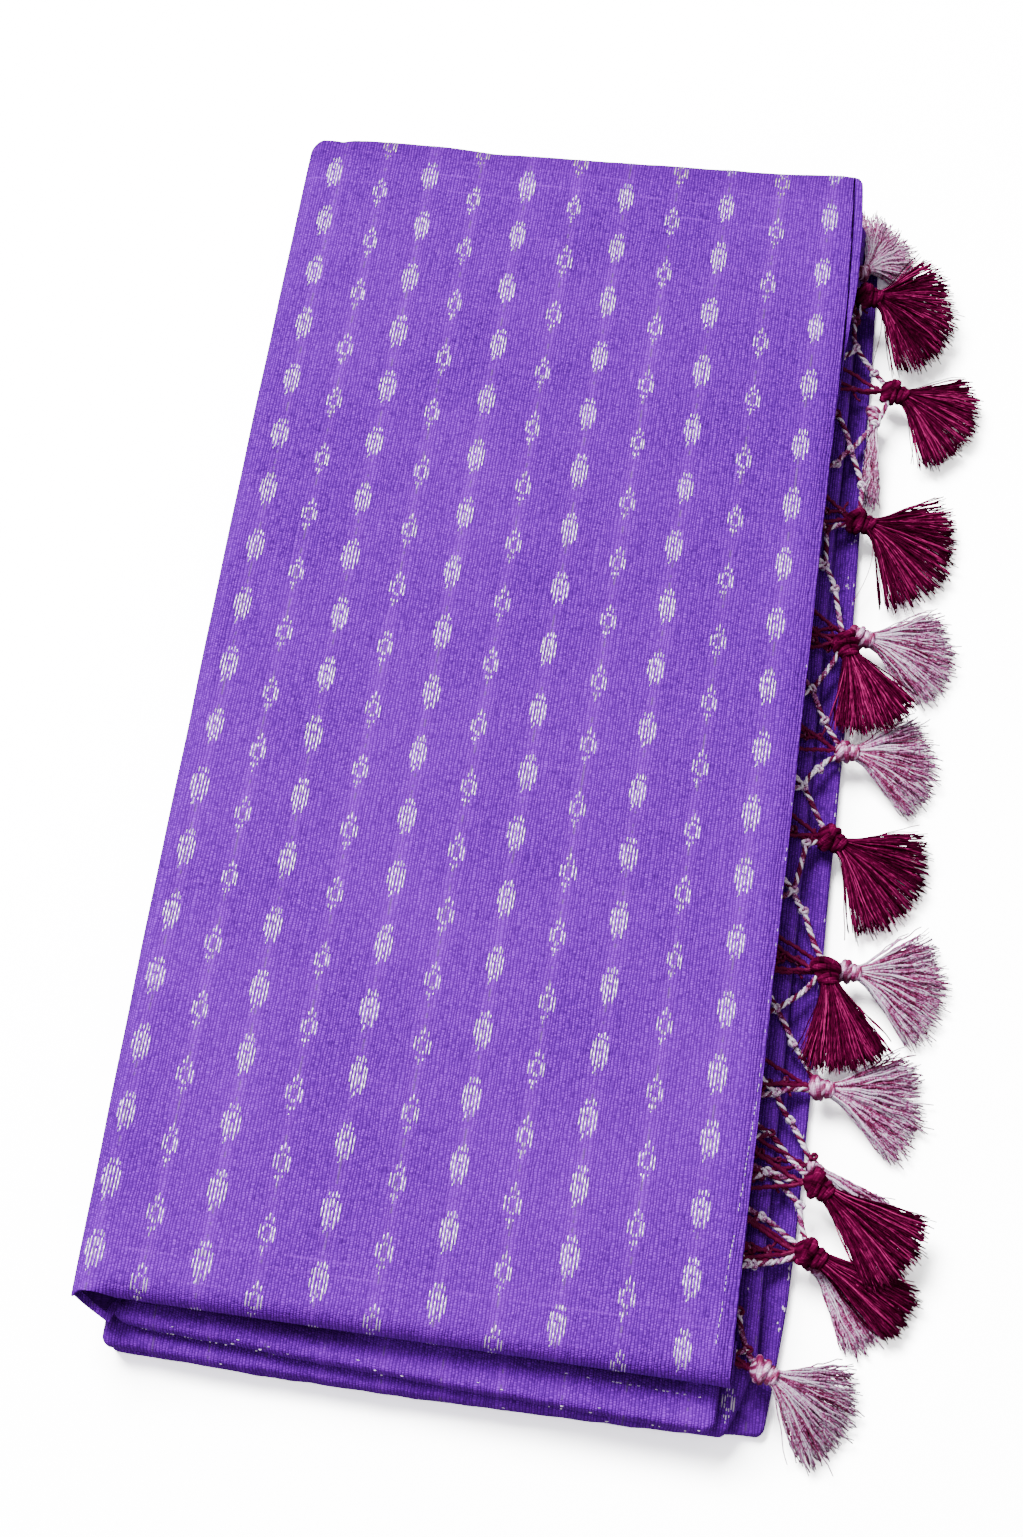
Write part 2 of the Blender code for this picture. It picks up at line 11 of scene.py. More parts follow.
import bpy
import numpy as np
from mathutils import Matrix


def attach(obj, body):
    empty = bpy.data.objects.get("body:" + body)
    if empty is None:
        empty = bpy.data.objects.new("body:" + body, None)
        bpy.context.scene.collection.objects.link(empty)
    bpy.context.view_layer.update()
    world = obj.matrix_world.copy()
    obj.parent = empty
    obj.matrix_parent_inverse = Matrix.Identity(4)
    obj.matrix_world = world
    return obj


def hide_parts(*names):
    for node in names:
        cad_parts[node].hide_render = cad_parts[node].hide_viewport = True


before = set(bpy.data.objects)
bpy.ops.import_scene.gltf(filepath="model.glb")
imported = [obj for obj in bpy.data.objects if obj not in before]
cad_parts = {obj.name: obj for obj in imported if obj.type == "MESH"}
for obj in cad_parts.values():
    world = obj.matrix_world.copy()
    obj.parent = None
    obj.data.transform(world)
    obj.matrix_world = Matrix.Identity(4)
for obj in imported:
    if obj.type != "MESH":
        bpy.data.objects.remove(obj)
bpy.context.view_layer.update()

bl_info = {
    "name": "Folded saree",
    "version": (1, 0, 0),
    "blender": (4, 5, 0),
    "location": "3D View > Sidebar > Saree",
    "description": "Weaves, folds and trims a folded saree with a knotted fringe",
    "category": "Object",
}

# Thousandth of a metre, start of the random draws, the smallest length that is divided by,
# and the upright that a thread's ring is turned to.
MM = 0.001
SEED = 41
TINY = 1e-9
LEAN_UP = (0.013, 0.017, 1.0)

# The stack's levels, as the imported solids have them.
TOP_LEVELS = (20.9, 31.6)
MIDDLE_LEVELS = (12.6, 19.2)
LOWER_LEVELS = (5.3, 12.3)
BASE_LEVELS = (0.0, 5.0)
HEADER_LEVEL = 20.05

# The top stretch: its sides from front to back, its ends from right to left, its rolls and
# their creases, the lip of the left roll, the rows of its grid, and the cloth across it.
TOP_LEFT = (-92.1, -92.8)
TOP_LEFT_BOW = 0.9
TOP_RIGHT = (89.4, 92.0)
TOP_FRONT = (-198.0, -199.4)
TOP_BACK = (196.9, 207.4)
TOP_ROLL = (TOP_LEVELS[1] - TOP_LEVELS[0]) / 2
TOP_CROWN = 0.7
EDGE_DROOP = 1.4
EDGE_REACH = 6.0
RETURN = 19.0
SETBACK = 9.0
TAIL = 8.0
TAIL_LEAST = 0.4
CREASE_START = 2.0
CREASE_FADE = 8.0
CREASE_REACH = 18.0
LIP_REACH = 5.9
LIP_WIDTH = 10.9
LIP_END = 3.0
LIP_RIM = 1.5
LIP_RIM_TURN = (1.1, 0.35)
# Painted shade darkens the return of the left roll's lip in front of this v.
LIP_SHADE_END = -150.0
CORNER_TRIM = 3.0
EDGE_SHIFT = 1.3
EDGE_ROWS = (0.4, 0.9, 2.2)
FLAT_ROWS, ROUND_ROWS, RETURN_ROWS, END_ROWS, LONG_ROWS = 100, 17, 8, 24, 180
BACK_STEP = 2.6
BACK_CORNER = 1.5

# The back edge: where it steps in and over what length; its slope's height and length; its
# rise, where that starts and ends; its first length; and how strong its painted shade is, from and over what.
BACK_STEP_FROM = (130.0, 77.0)
BACK_SLOPE = (2.0, 165.0)
BACK_RISE = (1.6, 34.0, 28.0)
BACK_START = 9.0
BACK_SHADE = 0.26
BACK_DARK = (17.0, 15.0)
DROOP_FADE = (0.8, 140.0, 40.0)
TOP_WAVES = 0.16
TOP_SPAN = TOP_RIGHT[0] - TOP_LEFT[0]
FLAT_SPAN = TOP_SPAN - TOP_ROLL
ROLL_SPAN = math.pi * TOP_ROLL
GRAIN_SLOPE = 0.0185

# Corners of the folds below it: x, y, radius, and the bow of the side after it.
MIDDLE_CORNERS = (
    (-83.8, -202.2, 8.5, 0.6), (87.4, -210.6, 3.5, 0.4), (87.4, 201.0, 5.0, 0.0), (-86.0, 188.0, 6.0, 0.8),
)
LOWER_CORNERS = (
    (-84.4, -207.8, 2.6, 1.4), (91.0, -209.4, 3.0, 0.3), (97.1, -187.0, 9.0, -0.5),
    (96.9, 204.0, 5.0, 0.0), (-87.0, 190.0, 6.0, 0.6),
)
BASE_CORNERS = (
    (-83.0, -207.4, 2.4, 2.0), (101.6, -206.8, 3.0, 0.3), (104.9, -168.0, 12.0, 2.2),
    (101.8, 208.7, 5.0, 0.0), (-85.0, 192.0, 5.0, 0.8),
)

# Hidden slabs: low and high level, left, right, front and back edge, and count of layers. Then
# how far they go in, their corners, steps and rows, and the gap between two layers.
SLABS = (
    (1.8, 3.1, -74.0, 94.0, -197.0, 184.0, 1),
    (7.1, 10.5, -78.0, 90.0, -200.0, 182.0, 2),
    (14.4, 17.4, -78.0, 80.0, -190.0, 180.0, 2),
    (22.8, 29.4, -80.0, 86.0, -184.0, 179.0, 6),
)
SLAB_DEPTH = 60.0
SLAB_CORNER = (4.0, 0.0)
SLAB_STEP = 14.0
LAYER_ROWS = 6
LAYER_GAP = 0.75

# Layers inside the left roll: radii and thickness, how far their front and back ends are set
# back from the roll's, and how much more for each.
INNER_RADII = (4.3, 3.3, 2.3)
INNER_THICK = 0.6
INNER_BACK = (1.8, 2.0)
INNER_MORE = (1.3, 1.2)

# A fold: the cloth past its edge, its rows there and round it, and the height of its waves.
FOLD_TAIL = 24.0
FOLD_ROWS = (6, 15)
FOLD_WAVES = (0.14, 0.12)

# The painted shade in the slit over each fold: the y of the front line above at the left and right, the x of
# the edge above at two y, how far the painted shade comes out of the slit, how fast it grows, and
# how strong the painted shade is on the lower half of the nose, in the slit below.
MIDDLE_SLIT = ((-199.4, -198.0), (300.0, 300.0), 0.3, 2.0, 0.7)
LOWER_SLIT = ((-202.0, -210.8), (87.2, 93.2), 0.2, 2.0, 0.2)
BASE_SLIT = ((-209.0, -209.8), (91.4, 97.5), 0.3, 1.2, 0.0)
SLIT_SPAN = (-209.4, -187.0)

# The folds: piece, the solid it stands for, corners, levels, slit, its waves' start, the step
# of its loop, what it rests on, its flat size in metres and its flat area.
FOLDS = (
    ("middle_fold", "middle_stretch", MIDDLE_CORNERS, MIDDLE_LEVELS, MIDDLE_SLIT, 3.0, 4.0, "lower_fold",
     (0.226, 0.462), 0.066),
    ("lower_fold", "lower_stretch", LOWER_CORNERS, LOWER_LEVELS, LOWER_SLIT, 40.0, 4.0, "base_fold",
     (0.236, 0.463), 0.069),
    ("base_fold", "base_stretch", BASE_CORNERS, BASE_LEVELS, BASE_SLIT, 77.0, 5.0, "floor",
     (0.24, 0.47), 0.112),
)

# How far from the middle the base fold's closing loops lie, as shares of its last loop.
BASE_CLOSING = (0.75, 0.5, 0.25, 0.04)

# The stretch under the open edge: y and x of its own edge, how far it rises at the back, from
# where and over what length, where it turns down, its inner x, its level and its thickness.
UNDER_EDGE = (
    (-182.0, 90.0), (-60.0, 90.4), (60.0, 91.0), (120.0, 91.6), (150.0, 93.4), (165.0, 94.4), (186.0, 94.1),
    (198.0, 93.4), (204.0, 93.0), (207.1, 92.5), (207.9, 91.6),
)
UNDER_RISE = 7.5
UNDER_UP = (112.0, 44.0)
UNDER_END = 205.3
UNDER_INNER = 62.0
UNDER_TOP = 22.4
UNDER_THICK = 0.8

# The cloth's thickness, the least radius of a corner, and how square a fold's edge is.
CLOTH_THICK = 0.55
TIGHTEST = 0.3
FOLD_SQUARE = 0.62

# Columns of buttas: x where y is 0, and the y of the one nearest the middle. Then how far
# apart further columns would be on the left and the right.
BRIGHT_COLUMNS = ((-83.9, 17.8), (-53.8, 17.8), (-21.4, 16.3), (11.6, 14.7), (45.1, 12.8), (79.4, 11.2))
HOLLOW_COLUMNS = ((-69.6, 9.9), (-37.8, 8.7), (-5.1, 7.3), (28.1, 5.4), (62.3, 3.3))
UNDER_COLUMNS = ((-116.5, 17.0), (-100.6, 9.0))
OUTER_PITCH = (16.0, 17.0)

# Rows: their numbers, pitch and its growth, each with its change by x; where they are pressed
# closer; how far the left column bends in, from where, over what length and left of what x;
# the room kept at the cloth's ends, and the v past which the threads get painted shade, darker on the back roll.
ROWS = range(-12, 12)
ROW_PITCH = (20.8, 0.0039)
ROW_GROWTH = (0.035, 0.00046)
ROW_PRESS = (150.0, 0.0014)
LEFT_BEND = (2.6, -20.0, 210.0, -72.0)
END_ROOM = 6.0
BUTTA_SHADE_FROM = 190.0

# One butta's thread bars: place across, lowest and highest end, half width.
BRIGHT_BARS = (
    (-2.3, -1.9, 1.1, 0.20), (-2.2, 1.4, 3.4, 0.19), (-1.4, -4.4, 3.9, 0.23), (-0.5, -3.7, 0.8, 0.21),
    (-0.45, 1.2, 3.7, 0.22), (0.42, -2.6, 0.6, 0.17), (0.42, 1.0, 3.8, 0.24), (1.35, -5.2, 3.4, 0.23),
    (2.25, -3.0, 2.8, 0.21), (-1.05, 4.3, 6.0, 0.19), (-0.15, 4.4, 5.8, 0.15), (0.75, 4.1, 6.3, 0.21),
    (1.55, 4.0, 5.4, 0.15), (-0.6, -5.7, -4.0, 0.20), (0.4, -4.6, -3.2, 0.16), (-1.0, -6.4, -5.6, 0.12),
)
HOLLOW_BARS = (
    (-2.0, -1.7, 2.5, 0.21), (-1.05, 0.2, 2.2, 0.22), (-1.05, -1.8, -0.1, 0.18), (1.3, -2.0, 2.3, 0.22),
    (2.15, -2.4, 1.9, 0.20), (-0.3, 1.7, 2.9, 0.19), (0.5, 1.8, 2.6, 0.16), (-0.3, -2.6, -1.5, 0.18),
    (0.5, -2.7, -1.6, 0.18), (-0.7, 3.5, 4.8, 0.22), (0.15, 3.8, 6.0, 0.19), (1.3, 2.8, 4.6, 0.19),
    (-1.0, -4.6, -3.6, 0.20), (-0.2, -5.2, -3.7, 0.22), (0.8, -4.5, -3.6, 0.16), (-0.3, -6.3, -5.5, 0.13),
)

# How high a bar's middle stands, how deep its sides lie, and the length of its dashes.
BAR_RISE = 0.24
BAR_SINK = -0.12
DASH_PITCH = 1.5

# The border's silver: the broken line's y and x on the top stretch and on the lowest strip.
SELVEDGE = (
    (-197.0, -185.0, -168.0, -142.0, -120.0, -60.0, 200.0),
    (84.4, 84.9, 85.8, 87.6, 88.8, 90.0, 91.0),
)
EDGE_B = ((-166.0, -100.0, 0.0, 116.0), (104.2, 104.8, 105.0, 103.4))

# Broken lines: where they lie, first and last place, pitch, share kept, half width, then the
# line's x or way round the fold (one number or the places above), and its sideways swing.
DASHES = (
    ("middle nose", -74.0, -52.0, 0.8, 0.42, 0.09, 6.6),
    ("middle nose", -52.0, 20.0, 0.8, 0.13, 0.09, 6.6),
    ("middle nose", 20.0, 84.0, 0.8, 0.05, 0.09, 6.6),
    ("middle nose", 40.0, 85.0, 1.0, 0.30, 0.10, -5.6),
    ("lower nose", -70.0, 86.0, 1.3, 0.06, 0.11, 4.2),
    ("middle nose", -76.0, 84.0, 1.3, 0.12, 0.12, 2.64, 1.98),
    ("base strip", -166.0, 116.0, 2.2, 0.22, 0.15, EDGE_B),
    ("top", -194.0, -118.0, 1.5, 0.72, 0.10, SELVEDGE),
    ("top", -118.0, -20.0, 1.5, 0.22, 0.10, SELVEDGE),
    ("top", -20.0, 60.0, 1.5, 0.05, 0.10, SELVEDGE),
)

# Bits of silver and specks: x and y. The one butta there: its scale and its place.
STRIP_B_BITS = ((103.6, -176.9), (104.6, -160.9), (104.4, -171.0), (103.6, 80.5), (102.9, 65.4), (106.0, 109.4))
STRIP_A_SPECKS = ((92.8, -168.6), (94.2, -156.8), (92.3, -182.9), (94.5, -136.2))
STRIP_BUTTA = ((0.8, 0.9, 0.9, 1.0), (90.4, -200.6, -200.6, 0.0))

# Soft creases of the top stretch: two ends, half width and height, down where negative.
TOP_CREASES = (
    (-82.0, -180.5, -28.0, -184.0, 1.6, 0.45),
    (-84.0, -184.5, -20.0, -188.5, 2.2, -0.35),
    (-60.0, 186.0, 60.0, 191.0, 1.4, 0.25),
    (-30.0, 178.0, 88.0, 182.0, 2.0, -0.25),
    (-88.0, -150.0, -89.5, 120.0, 2.5, 0.30),
    (-83.0, -120.0, -80.0, 170.0, 4.0, -0.35),
    (84.0, -190.0, 86.0, 150.0, 2.2, 0.28),
    (-20.0, -60.0, -6.0, 80.0, 9.0, -0.28),
    (34.0, -150.0, 40.0, -20.0, 8.0, 0.26),
    (-62.0, -70.0, -58.0, 60.0, 7.0, 0.22),
    (60.0, 20.0, 70.0, 150.0, 8.0, -0.25),
    (-44.0, 90.0, -30.0, 170.0, 8.0, 0.22),
    (10.0, -192.0, 84.0, -196.0, 2.4, -0.30),
    (26.0, 198.6, 88.0, 196.8, 1.2, 0.32),
    (40.0, 195.0, 80.0, 193.4, 1.0, -0.25),
)

# Places along the cloth where a few lighter weft threads show.
WEFT_LINES = (-185.4, -181.6, 181.4, 187.6, 193.8)

# Where the net's cords cross or bend: x, y, its stops along the header, and the places its
# further cords go to.
NET = {
    "edge_1": (92.4, 176.6, (183.0,), ("knot_2",)),
    "knot_2": (96.0, 161.2, (168.0,), ("cross_23",)),
    "cross_23": (96.9, 150.5, (), ("left_23", "arc_3")),
    "left_23": (92.3, 145.8, (138.5,), ()),
    "arc_3": (104.0, 143.5, (), ()),
    "rise_3": (105.8, 124.0, (), ()),
    "up_35": (92.9, 123.1, (131.0,), ("cross_35",)),
    "cross_35": (98.4, 111.4, (), ("rise_3", "down_35", "right_5")),
    "down_35": (94.2, 104.4, (97.0,), ()),
    "right_5": (103.3, 99.8, (), ()),
    "left_5": (93.1, 79.6, (87.0,), ("cross_56",)),
    "cross_56": (93.9, 66.0, (73.0, 57.5), ("down_56",)),
    "down_56": (97.7, 58.8, (), ()),
    "cross_67": (93.7, 21.7, (29.0, 14.0), ("down_67",)),
    "down_67": (98.6, 12.2, (), ()),
    "up_78": (98.2, -4.8, (), ("cross_78",)),
    "cross_78": (94.3, -12.1, (-4.5, -19.5), ()),
    "up_89": (96.6, -30.3, (), ()),
    "cross_89": (94.1, -46.5, (-39.0, -54.0), ("up_89", "down_89")),
    "down_89": (97.9, -52.2, (), ()),
    "cross_910": (92.6, -84.9, (-77.5, -92.0), ("down_910",)),
    "down_910": (98.5, -94.1, (), ()),
    "cross_1011": (95.1, -110.3, (-103.5, -114.6), ("down_1011",)),
    "down_1011": (100.1, -117.2, (), ()),
    "knot_11": (94.5, -122.8, (-120.6, -127.0), ()),
    "cross_1112": (95.0, -134.1, (-132.4, -140.0), ("down_1112",)),
    "down_1112": (105.2, -141.6, (), ()),
    "knot_12": (94.6, -147.5, (-145.2, -152.6), ()),
    "cross_1213": (93.4, -161.6, (-158.2, -167.4), ()),
    "bend_13": (90.8, -175.7, (-173.2,), ("knot_13",)),
    "knot_13": (94.3, -185.8, (-191.0,), ()),
}

# The band that the net hangs from: its x, its ends, and its threads, how far to the left the
# first lies, how far apart they lie and their half width.
HEADER_X = 84.4
HEADER_ENDS = (-197.0, 190.0)
HEADER_THREADS = 4
HEADER_LEFT = 1.3
HEADER_PITCH = 0.85
HEADER_HALF = 0.46

# Which knots and how many cords are maroon, one small knot's place, the length of a cord's
# twist, its threads' distance and half width in half cords, and their tones; then where the
# finer net starts, ends, knots, bends and falls.
MAROON_SPOTS = ("edge_1", "knot_2", "up_35", "left_5", "knot_11", "bend_13", "knot_13")
MAROON_SHARE = 0.45
LOOP = (107.4, -128.4, 14.8)
PLY_PITCH = 5.2
PLY_SIZE = (0.52, 0.56)
PLY_TONES = {True: (0.20, 0.95, 1.1), False: (0.05, 0.35, 1.0)}
FINE_STARTS = (-6.5, -1.0, 5.0)
NET_END = -190.0
JOINT_X = 92.6
ELBOW_X = 97.6
NET_FALL_X = (86.4, 90.0, 93.0, 97.0, 99.0, 101.0, 104.0)
NET_FALL_Z = (HEADER_LEVEL, 16.8, 14.2, 13.1, 11.8, 10.4, 9.9)

# Tassels from the back to the front: head x, y, z, radius; heading and spread in degrees;
# length; tip height; places of the net that hold it.
TASSELS = (
    (96.6, 181.6, 12.0, 2.6, 56.0, 84.0, 25.0, 3.0, ("edge_1",)),
    (98.2, 169.1, 16.9, 4.2, -3.5, 109.0, 30.0, 8.0, ("edge_1", "knot_2")),
    (110.2, 136.9, 10.5, 4.2, -18.0, 85.0, 28.5, 5.0, ("arc_3", "rise_3")),
    (105.0, 129.0, 9.0, 2.5, -87.0, 9.0, 31.5, 5.0, ()),
    (103.1, 86.1, 10.5, 4.2, -17.5, 93.0, 31.5, 4.0, ("right_5", "left_5")),
    (102.4, 39.0, 14.8, 4.2, -62.5, 56.0, 29.5, 12.0, ("down_56", "cross_67")),
    (106.6, 44.0, 9.8, 3.8, -2.0, 72.0, 30.0, 3.0, ()),
    (105.7, 3.7, 9.7, 3.4, 1.0, 78.0, 28.0, 3.0, ("down_67", "up_78")),
    (103.5, -26.4, 10.5, 4.2, -26.5, 82.0, 31.0, 4.0, ("cross_78", "up_89")),
    (106.0, -70.5, 14.8, 4.2, -72.1, 50.0, 30.0, 12.0, ("down_89", "cross_910")),
    (112.1, -68.5, 9.6, 3.5, -1.0, 79.0, 29.5, 3.0, ()),
    (107.3, -105.7, 9.7, 3.5, -2.0, 69.0, 30.0, 3.0, ("down_910", "cross_1011")),
    (107.9, -128.9, 7.5, 2.4, -23.0, 18.0, 23.5, 3.0, ("down_1011",)),
    (108.8, -136.2, 15.0, 4.2, -34.0, 48.0, 33.5, 11.2, ("knot_11", "cross_1112")),
    (108.5, -155.4, 12.0, 4.2, -23.5, 32.0, 32.0, 4.5, ("down_1112", "knot_12", "cross_1213")),
    (111.1, -155.9, 5.0, 3.2, -51.9, 26.0, 26.5, 2.2, ()),
    (98.4, -191.6, 16.9, 3.6, -20.5, 76.0, 27.0, 3.0, ("knot_13",)),
)

# Tassels by number: the mixed, the narrow, those longer on one side and by what share, and
# the loose one; then a strand's waver there, how soon strands swing out, and tufts by width.
MIXED = (1, 4, 7, 8, 11, 12, 13, 16, 17)
NARROW = (4, 13, 16)
LOPSIDED = {1: 0.34, 2: 0.05}
LOOSE_TASSEL = 4
LOOSE_WAVER = 0.95
SWING = 3.2
TUFTS = {False: 64, True: 26}
NARROW_SHARE = 0.6

# A tassel's neck in radii, its share of stray strands, how much shorter its sides are than its
# middle, and how high a strand lies above the floor at least.
NECK = (0.50, 0.42)
STRAY_SHARE = 0.04
SIDE_SHORT = 0.06
LEAST_HEIGHT = 0.35

# Shares of silver, and of silver and lilac, among a mixed tassel's strands; 0 is any other.
MIXED_SHARES = {0: (0.34, 0.62), 1: (0.30, 0.94), 4: (0.14, 0.48)}

# A kind of tassel: slot, share of the strands, stations of a strand, raggedness of the ends,
# side waves and their counts, half thickness, its taper, and the tones of head and rings.
Kind = namedtuple("Kind", "slot share stations ragged waver waves half taper head ring")
MIXED_KIND = Kind("mixed_thread", 0.60, 12, 0.055, 0.50, (12, 26), 0.30, 0.38, (0.82, 0.6), (0.78, 0.5))
MAROON_KIND = Kind("maroon_thread", 0.92, 11, 0.038, 0.28, (9, 20), 0.22, 0.15, (0.26, 0.2), (0.32, 0.2))

# Rings round a tassel's head: place along it, slant, size and thickness, in radii.
TASSEL_RINGS = (
    (-0.15, 0.75, 0.80, 0.30), (0.05, -0.55, 0.84, 0.24), (0.72, 0.10, 0.56, 0.26),
    (0.95, -0.10, 0.50, 0.24), (1.14, 0.06, 0.48, 0.22),
)

# The camera's place and aim.
EYE = (0.0527, -0.3626, 0.7463)
AIM = (7.88, 64.59)
FOCAL = 62.07
SENSOR = 36.0

# Lamps: share of the key's power, width and place; both look at the middle of the floor.
LAMPS = (("key lamp", 1.0, 1.62, (-1.30, 1.19, 2.88)), ("fill lamp", 0.0093, 0.9, (-0.35, -1.05, 0.75)))
FLOOR_HALF = 2500.0
FLOOR_LEVEL = -0.15

# Colours that stay as they are: the floating warp thread's, and the dark of the painted shade in slits, under the left
# roll's lip, on the back roll and on the hidden layers.
FLOAT_GREY = (0.13, 0.085, 0.15, 1.0)
PAINTED_SHADE_DARK = (0.004, 0.0, 0.012, 1.0)


# Sizes and colours that a user would change.

COLOUR = {"size": 3, "subtype": "COLOR", "min": 0.0, "max": 1.0}


class SareeCloth(bpy.types.PropertyGroup):
    rib_pitch: bpy.props.FloatProperty(
        name="Rib pitch", description="Distance from one warp rib to the next, in millimetres",
        default=0.91, min=0.2, max=4.0)
    cross_pitch: bpy.props.FloatProperty(
        name="Cross pitch", description="Distance from one weft thread to the next, in millimetres",
        default=0.72, min=0.2, max=4.0)
    # The deep purple between the ribs is painted shade of the weave's relief and also the colour of darker threads; the
    # light purple on the crests is a painted highlight and also the colour of lighter threads.
    deep: bpy.props.FloatVectorProperty(
        name="Deep purple", description="Colour of the cloth between its ribs",
        default=(0.032, 0.0001, 0.105), **COLOUR)
    base: bpy.props.FloatVectorProperty(
        name="Purple", description="Colour of the cloth", default=(0.117, 0.0003, 0.360), **COLOUR)
    light: bpy.props.FloatVectorProperty(
        name="Light purple", description="Colour of the crests and of the lighter threads",
        default=(0.36, 0.016, 0.90), **COLOUR)


class SareeButta(bpy.types.PropertyGroup):
    rise: bpy.props.FloatProperty(
        name="Rise", description="How far the butta threads stand above the cloth",
        default=BAR_RISE * MM, min=0.0, max=0.002, unit="LENGTH")
    silver: bpy.props.FloatVectorProperty(
        name="Silver", description="Colour of the bright butta threads", default=(0.95, 0.80, 1.0), **COLOUR)
    dull: bpy.props.FloatVectorProperty(
        name="Dull silver", description="Colour of the hollow buttas' threads",
        default=(0.88, 0.72, 0.94), **COLOUR)


class SareeFringe(bpy.types.PropertyGroup):
    strands: bpy.props.IntProperty(
        name="Strands", description="Strands in one tassel", default=500, min=20, max=900)
    maroon: bpy.props.FloatVectorProperty(
        name="Maroon", description="Colour of the maroon thread", default=(0.014, 0.0002, 0.004), **COLOUR)
    silver: bpy.props.FloatVectorProperty(
        name="Silver thread", description="Colour of the silver thread in the fringe",
        default=(0.94, 0.81, 1.0), **COLOUR)
    cord: bpy.props.FloatProperty(
        name="Cord width", description="Thickness of a net cord",
        default=0.0017, min=0.0002, max=0.01, unit="LENGTH")


class SareeStage(bpy.types.PropertyGroup):
    floor: bpy.props.FloatVectorProperty(
        name="Floor", description="Colour of the floor", default=(0.93, 0.93, 0.93), **COLOUR)
    sky: bpy.props.FloatProperty(
        name="Sky", description="Strength of the light from all round", default=0.42, min=0.0, max=20.0)
    key: bpy.props.FloatProperty(
        name="Key", description="Power of the large soft lamp",
        default=320.0, min=0.0, max=1000.0, unit="POWER")
    bounce: bpy.props.FloatProperty(
        name="Bounce", description="Share of its light that the floor gives back to the object",
        default=0.16, min=0.0, max=1.0)
    white: bpy.props.FloatProperty(
        name="White", description="How bright the floor looks beside the light on it",
        default=6.2, min=0.5, max=20.0)


GROUPS = {"saree_cloth": SareeCloth, "saree_butta": SareeButta, "saree_fringe": SareeFringe,
          "saree_stage": SareeStage}


# Plain helpers.


def smooth_step(value):
    """0 below 0, 1 above 1, and three times the square less twice the cube between."""
    value = np.clip(value, 0.0, 1.0)
    return value * value * (3 - 2 * value)


def bow(part):
    """A parabola that is 0 at both ends and 1 halfway."""
    return 4 * part * (1 - part)


def between(ends, part):
    """A place part of the way from one end to the other."""
    return ends[0] + (ends[1] - ends[0]) * part


def stacked(*values):
    """Coordinates of one grid, side by side in its last axis."""
    return np.stack(np.broadcast_arrays(*values), axis=-1)


def column_of(values):
    """Values down a grid's rows."""
    return np.asarray(values)[:, None]


def grid_faces(rows, columns, closed=False):
    """Quads of a grid stored row by row, whose last column joins the first when closed."""
    across = np.arange(columns if closed else columns - 1)
    row = np.arange(rows - 1)[:, None] * columns
    a, b = row + across, row + (across + 1) % columns
    return np.stack([a, a + columns, b + columns, b], axis=-1).reshape(-1, 4)


def add_object(name, data):
    """A new object at the origin of the scene."""
    made = bpy.data.objects.new(name, data)
    bpy.context.scene.collection.objects.link(made)
    return made


def new_piece(name, points, faces, uv=None, **fields):
    """A mesh object from points in millimetres, with a UV map in metres and float attributes."""
    mesh = bpy.data.meshes.new(name)
    mesh.from_pydata(np.asarray(points, float).reshape(-1, 3) * MM, [], faces)
    if uv is not None:
        loops = np.empty(len(mesh.loops), dtype=np.int32)
        mesh.loops.foreach_get("vertex_index", loops)
        layer = mesh.uv_layers.new(name="cloth")
        layer.data.foreach_set("uv", (np.asarray(uv, float).reshape(-1, 2) * MM)[loops].ravel())
    for field, values in fields.items():
        mesh.attributes.new(field, "FLOAT", "POINT").data.foreach_set("value", np.asarray(values, float).ravel())
    mesh.polygons.foreach_set("use_smooth", np.full(len(mesh.polygons), True))
    mesh.validate()
    mesh.update()
    return add_object(name, mesh)


def dress_cloth(piece, node, thick=CLOTH_THICK):
    """Gives a sheet its thickness, inwards from its outer face, and its purple cloth."""
    wall = piece.modifiers.new("Cloth thickness", "SOLIDIFY")
    wall.thickness, wall.offset, wall.use_rim = thick * MM, -1.0, True
    dress(piece, cloth_material("purple handloom cloth"), "purple_cloth", node)


def dress(piece, material, slot, *nodes):
    """Gives a piece its material and its body, and hides the solids that it stands for. The slot is not used."""
    piece.data.materials.append(material)
    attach(piece, "root")
    if nodes:
        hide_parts(*nodes)


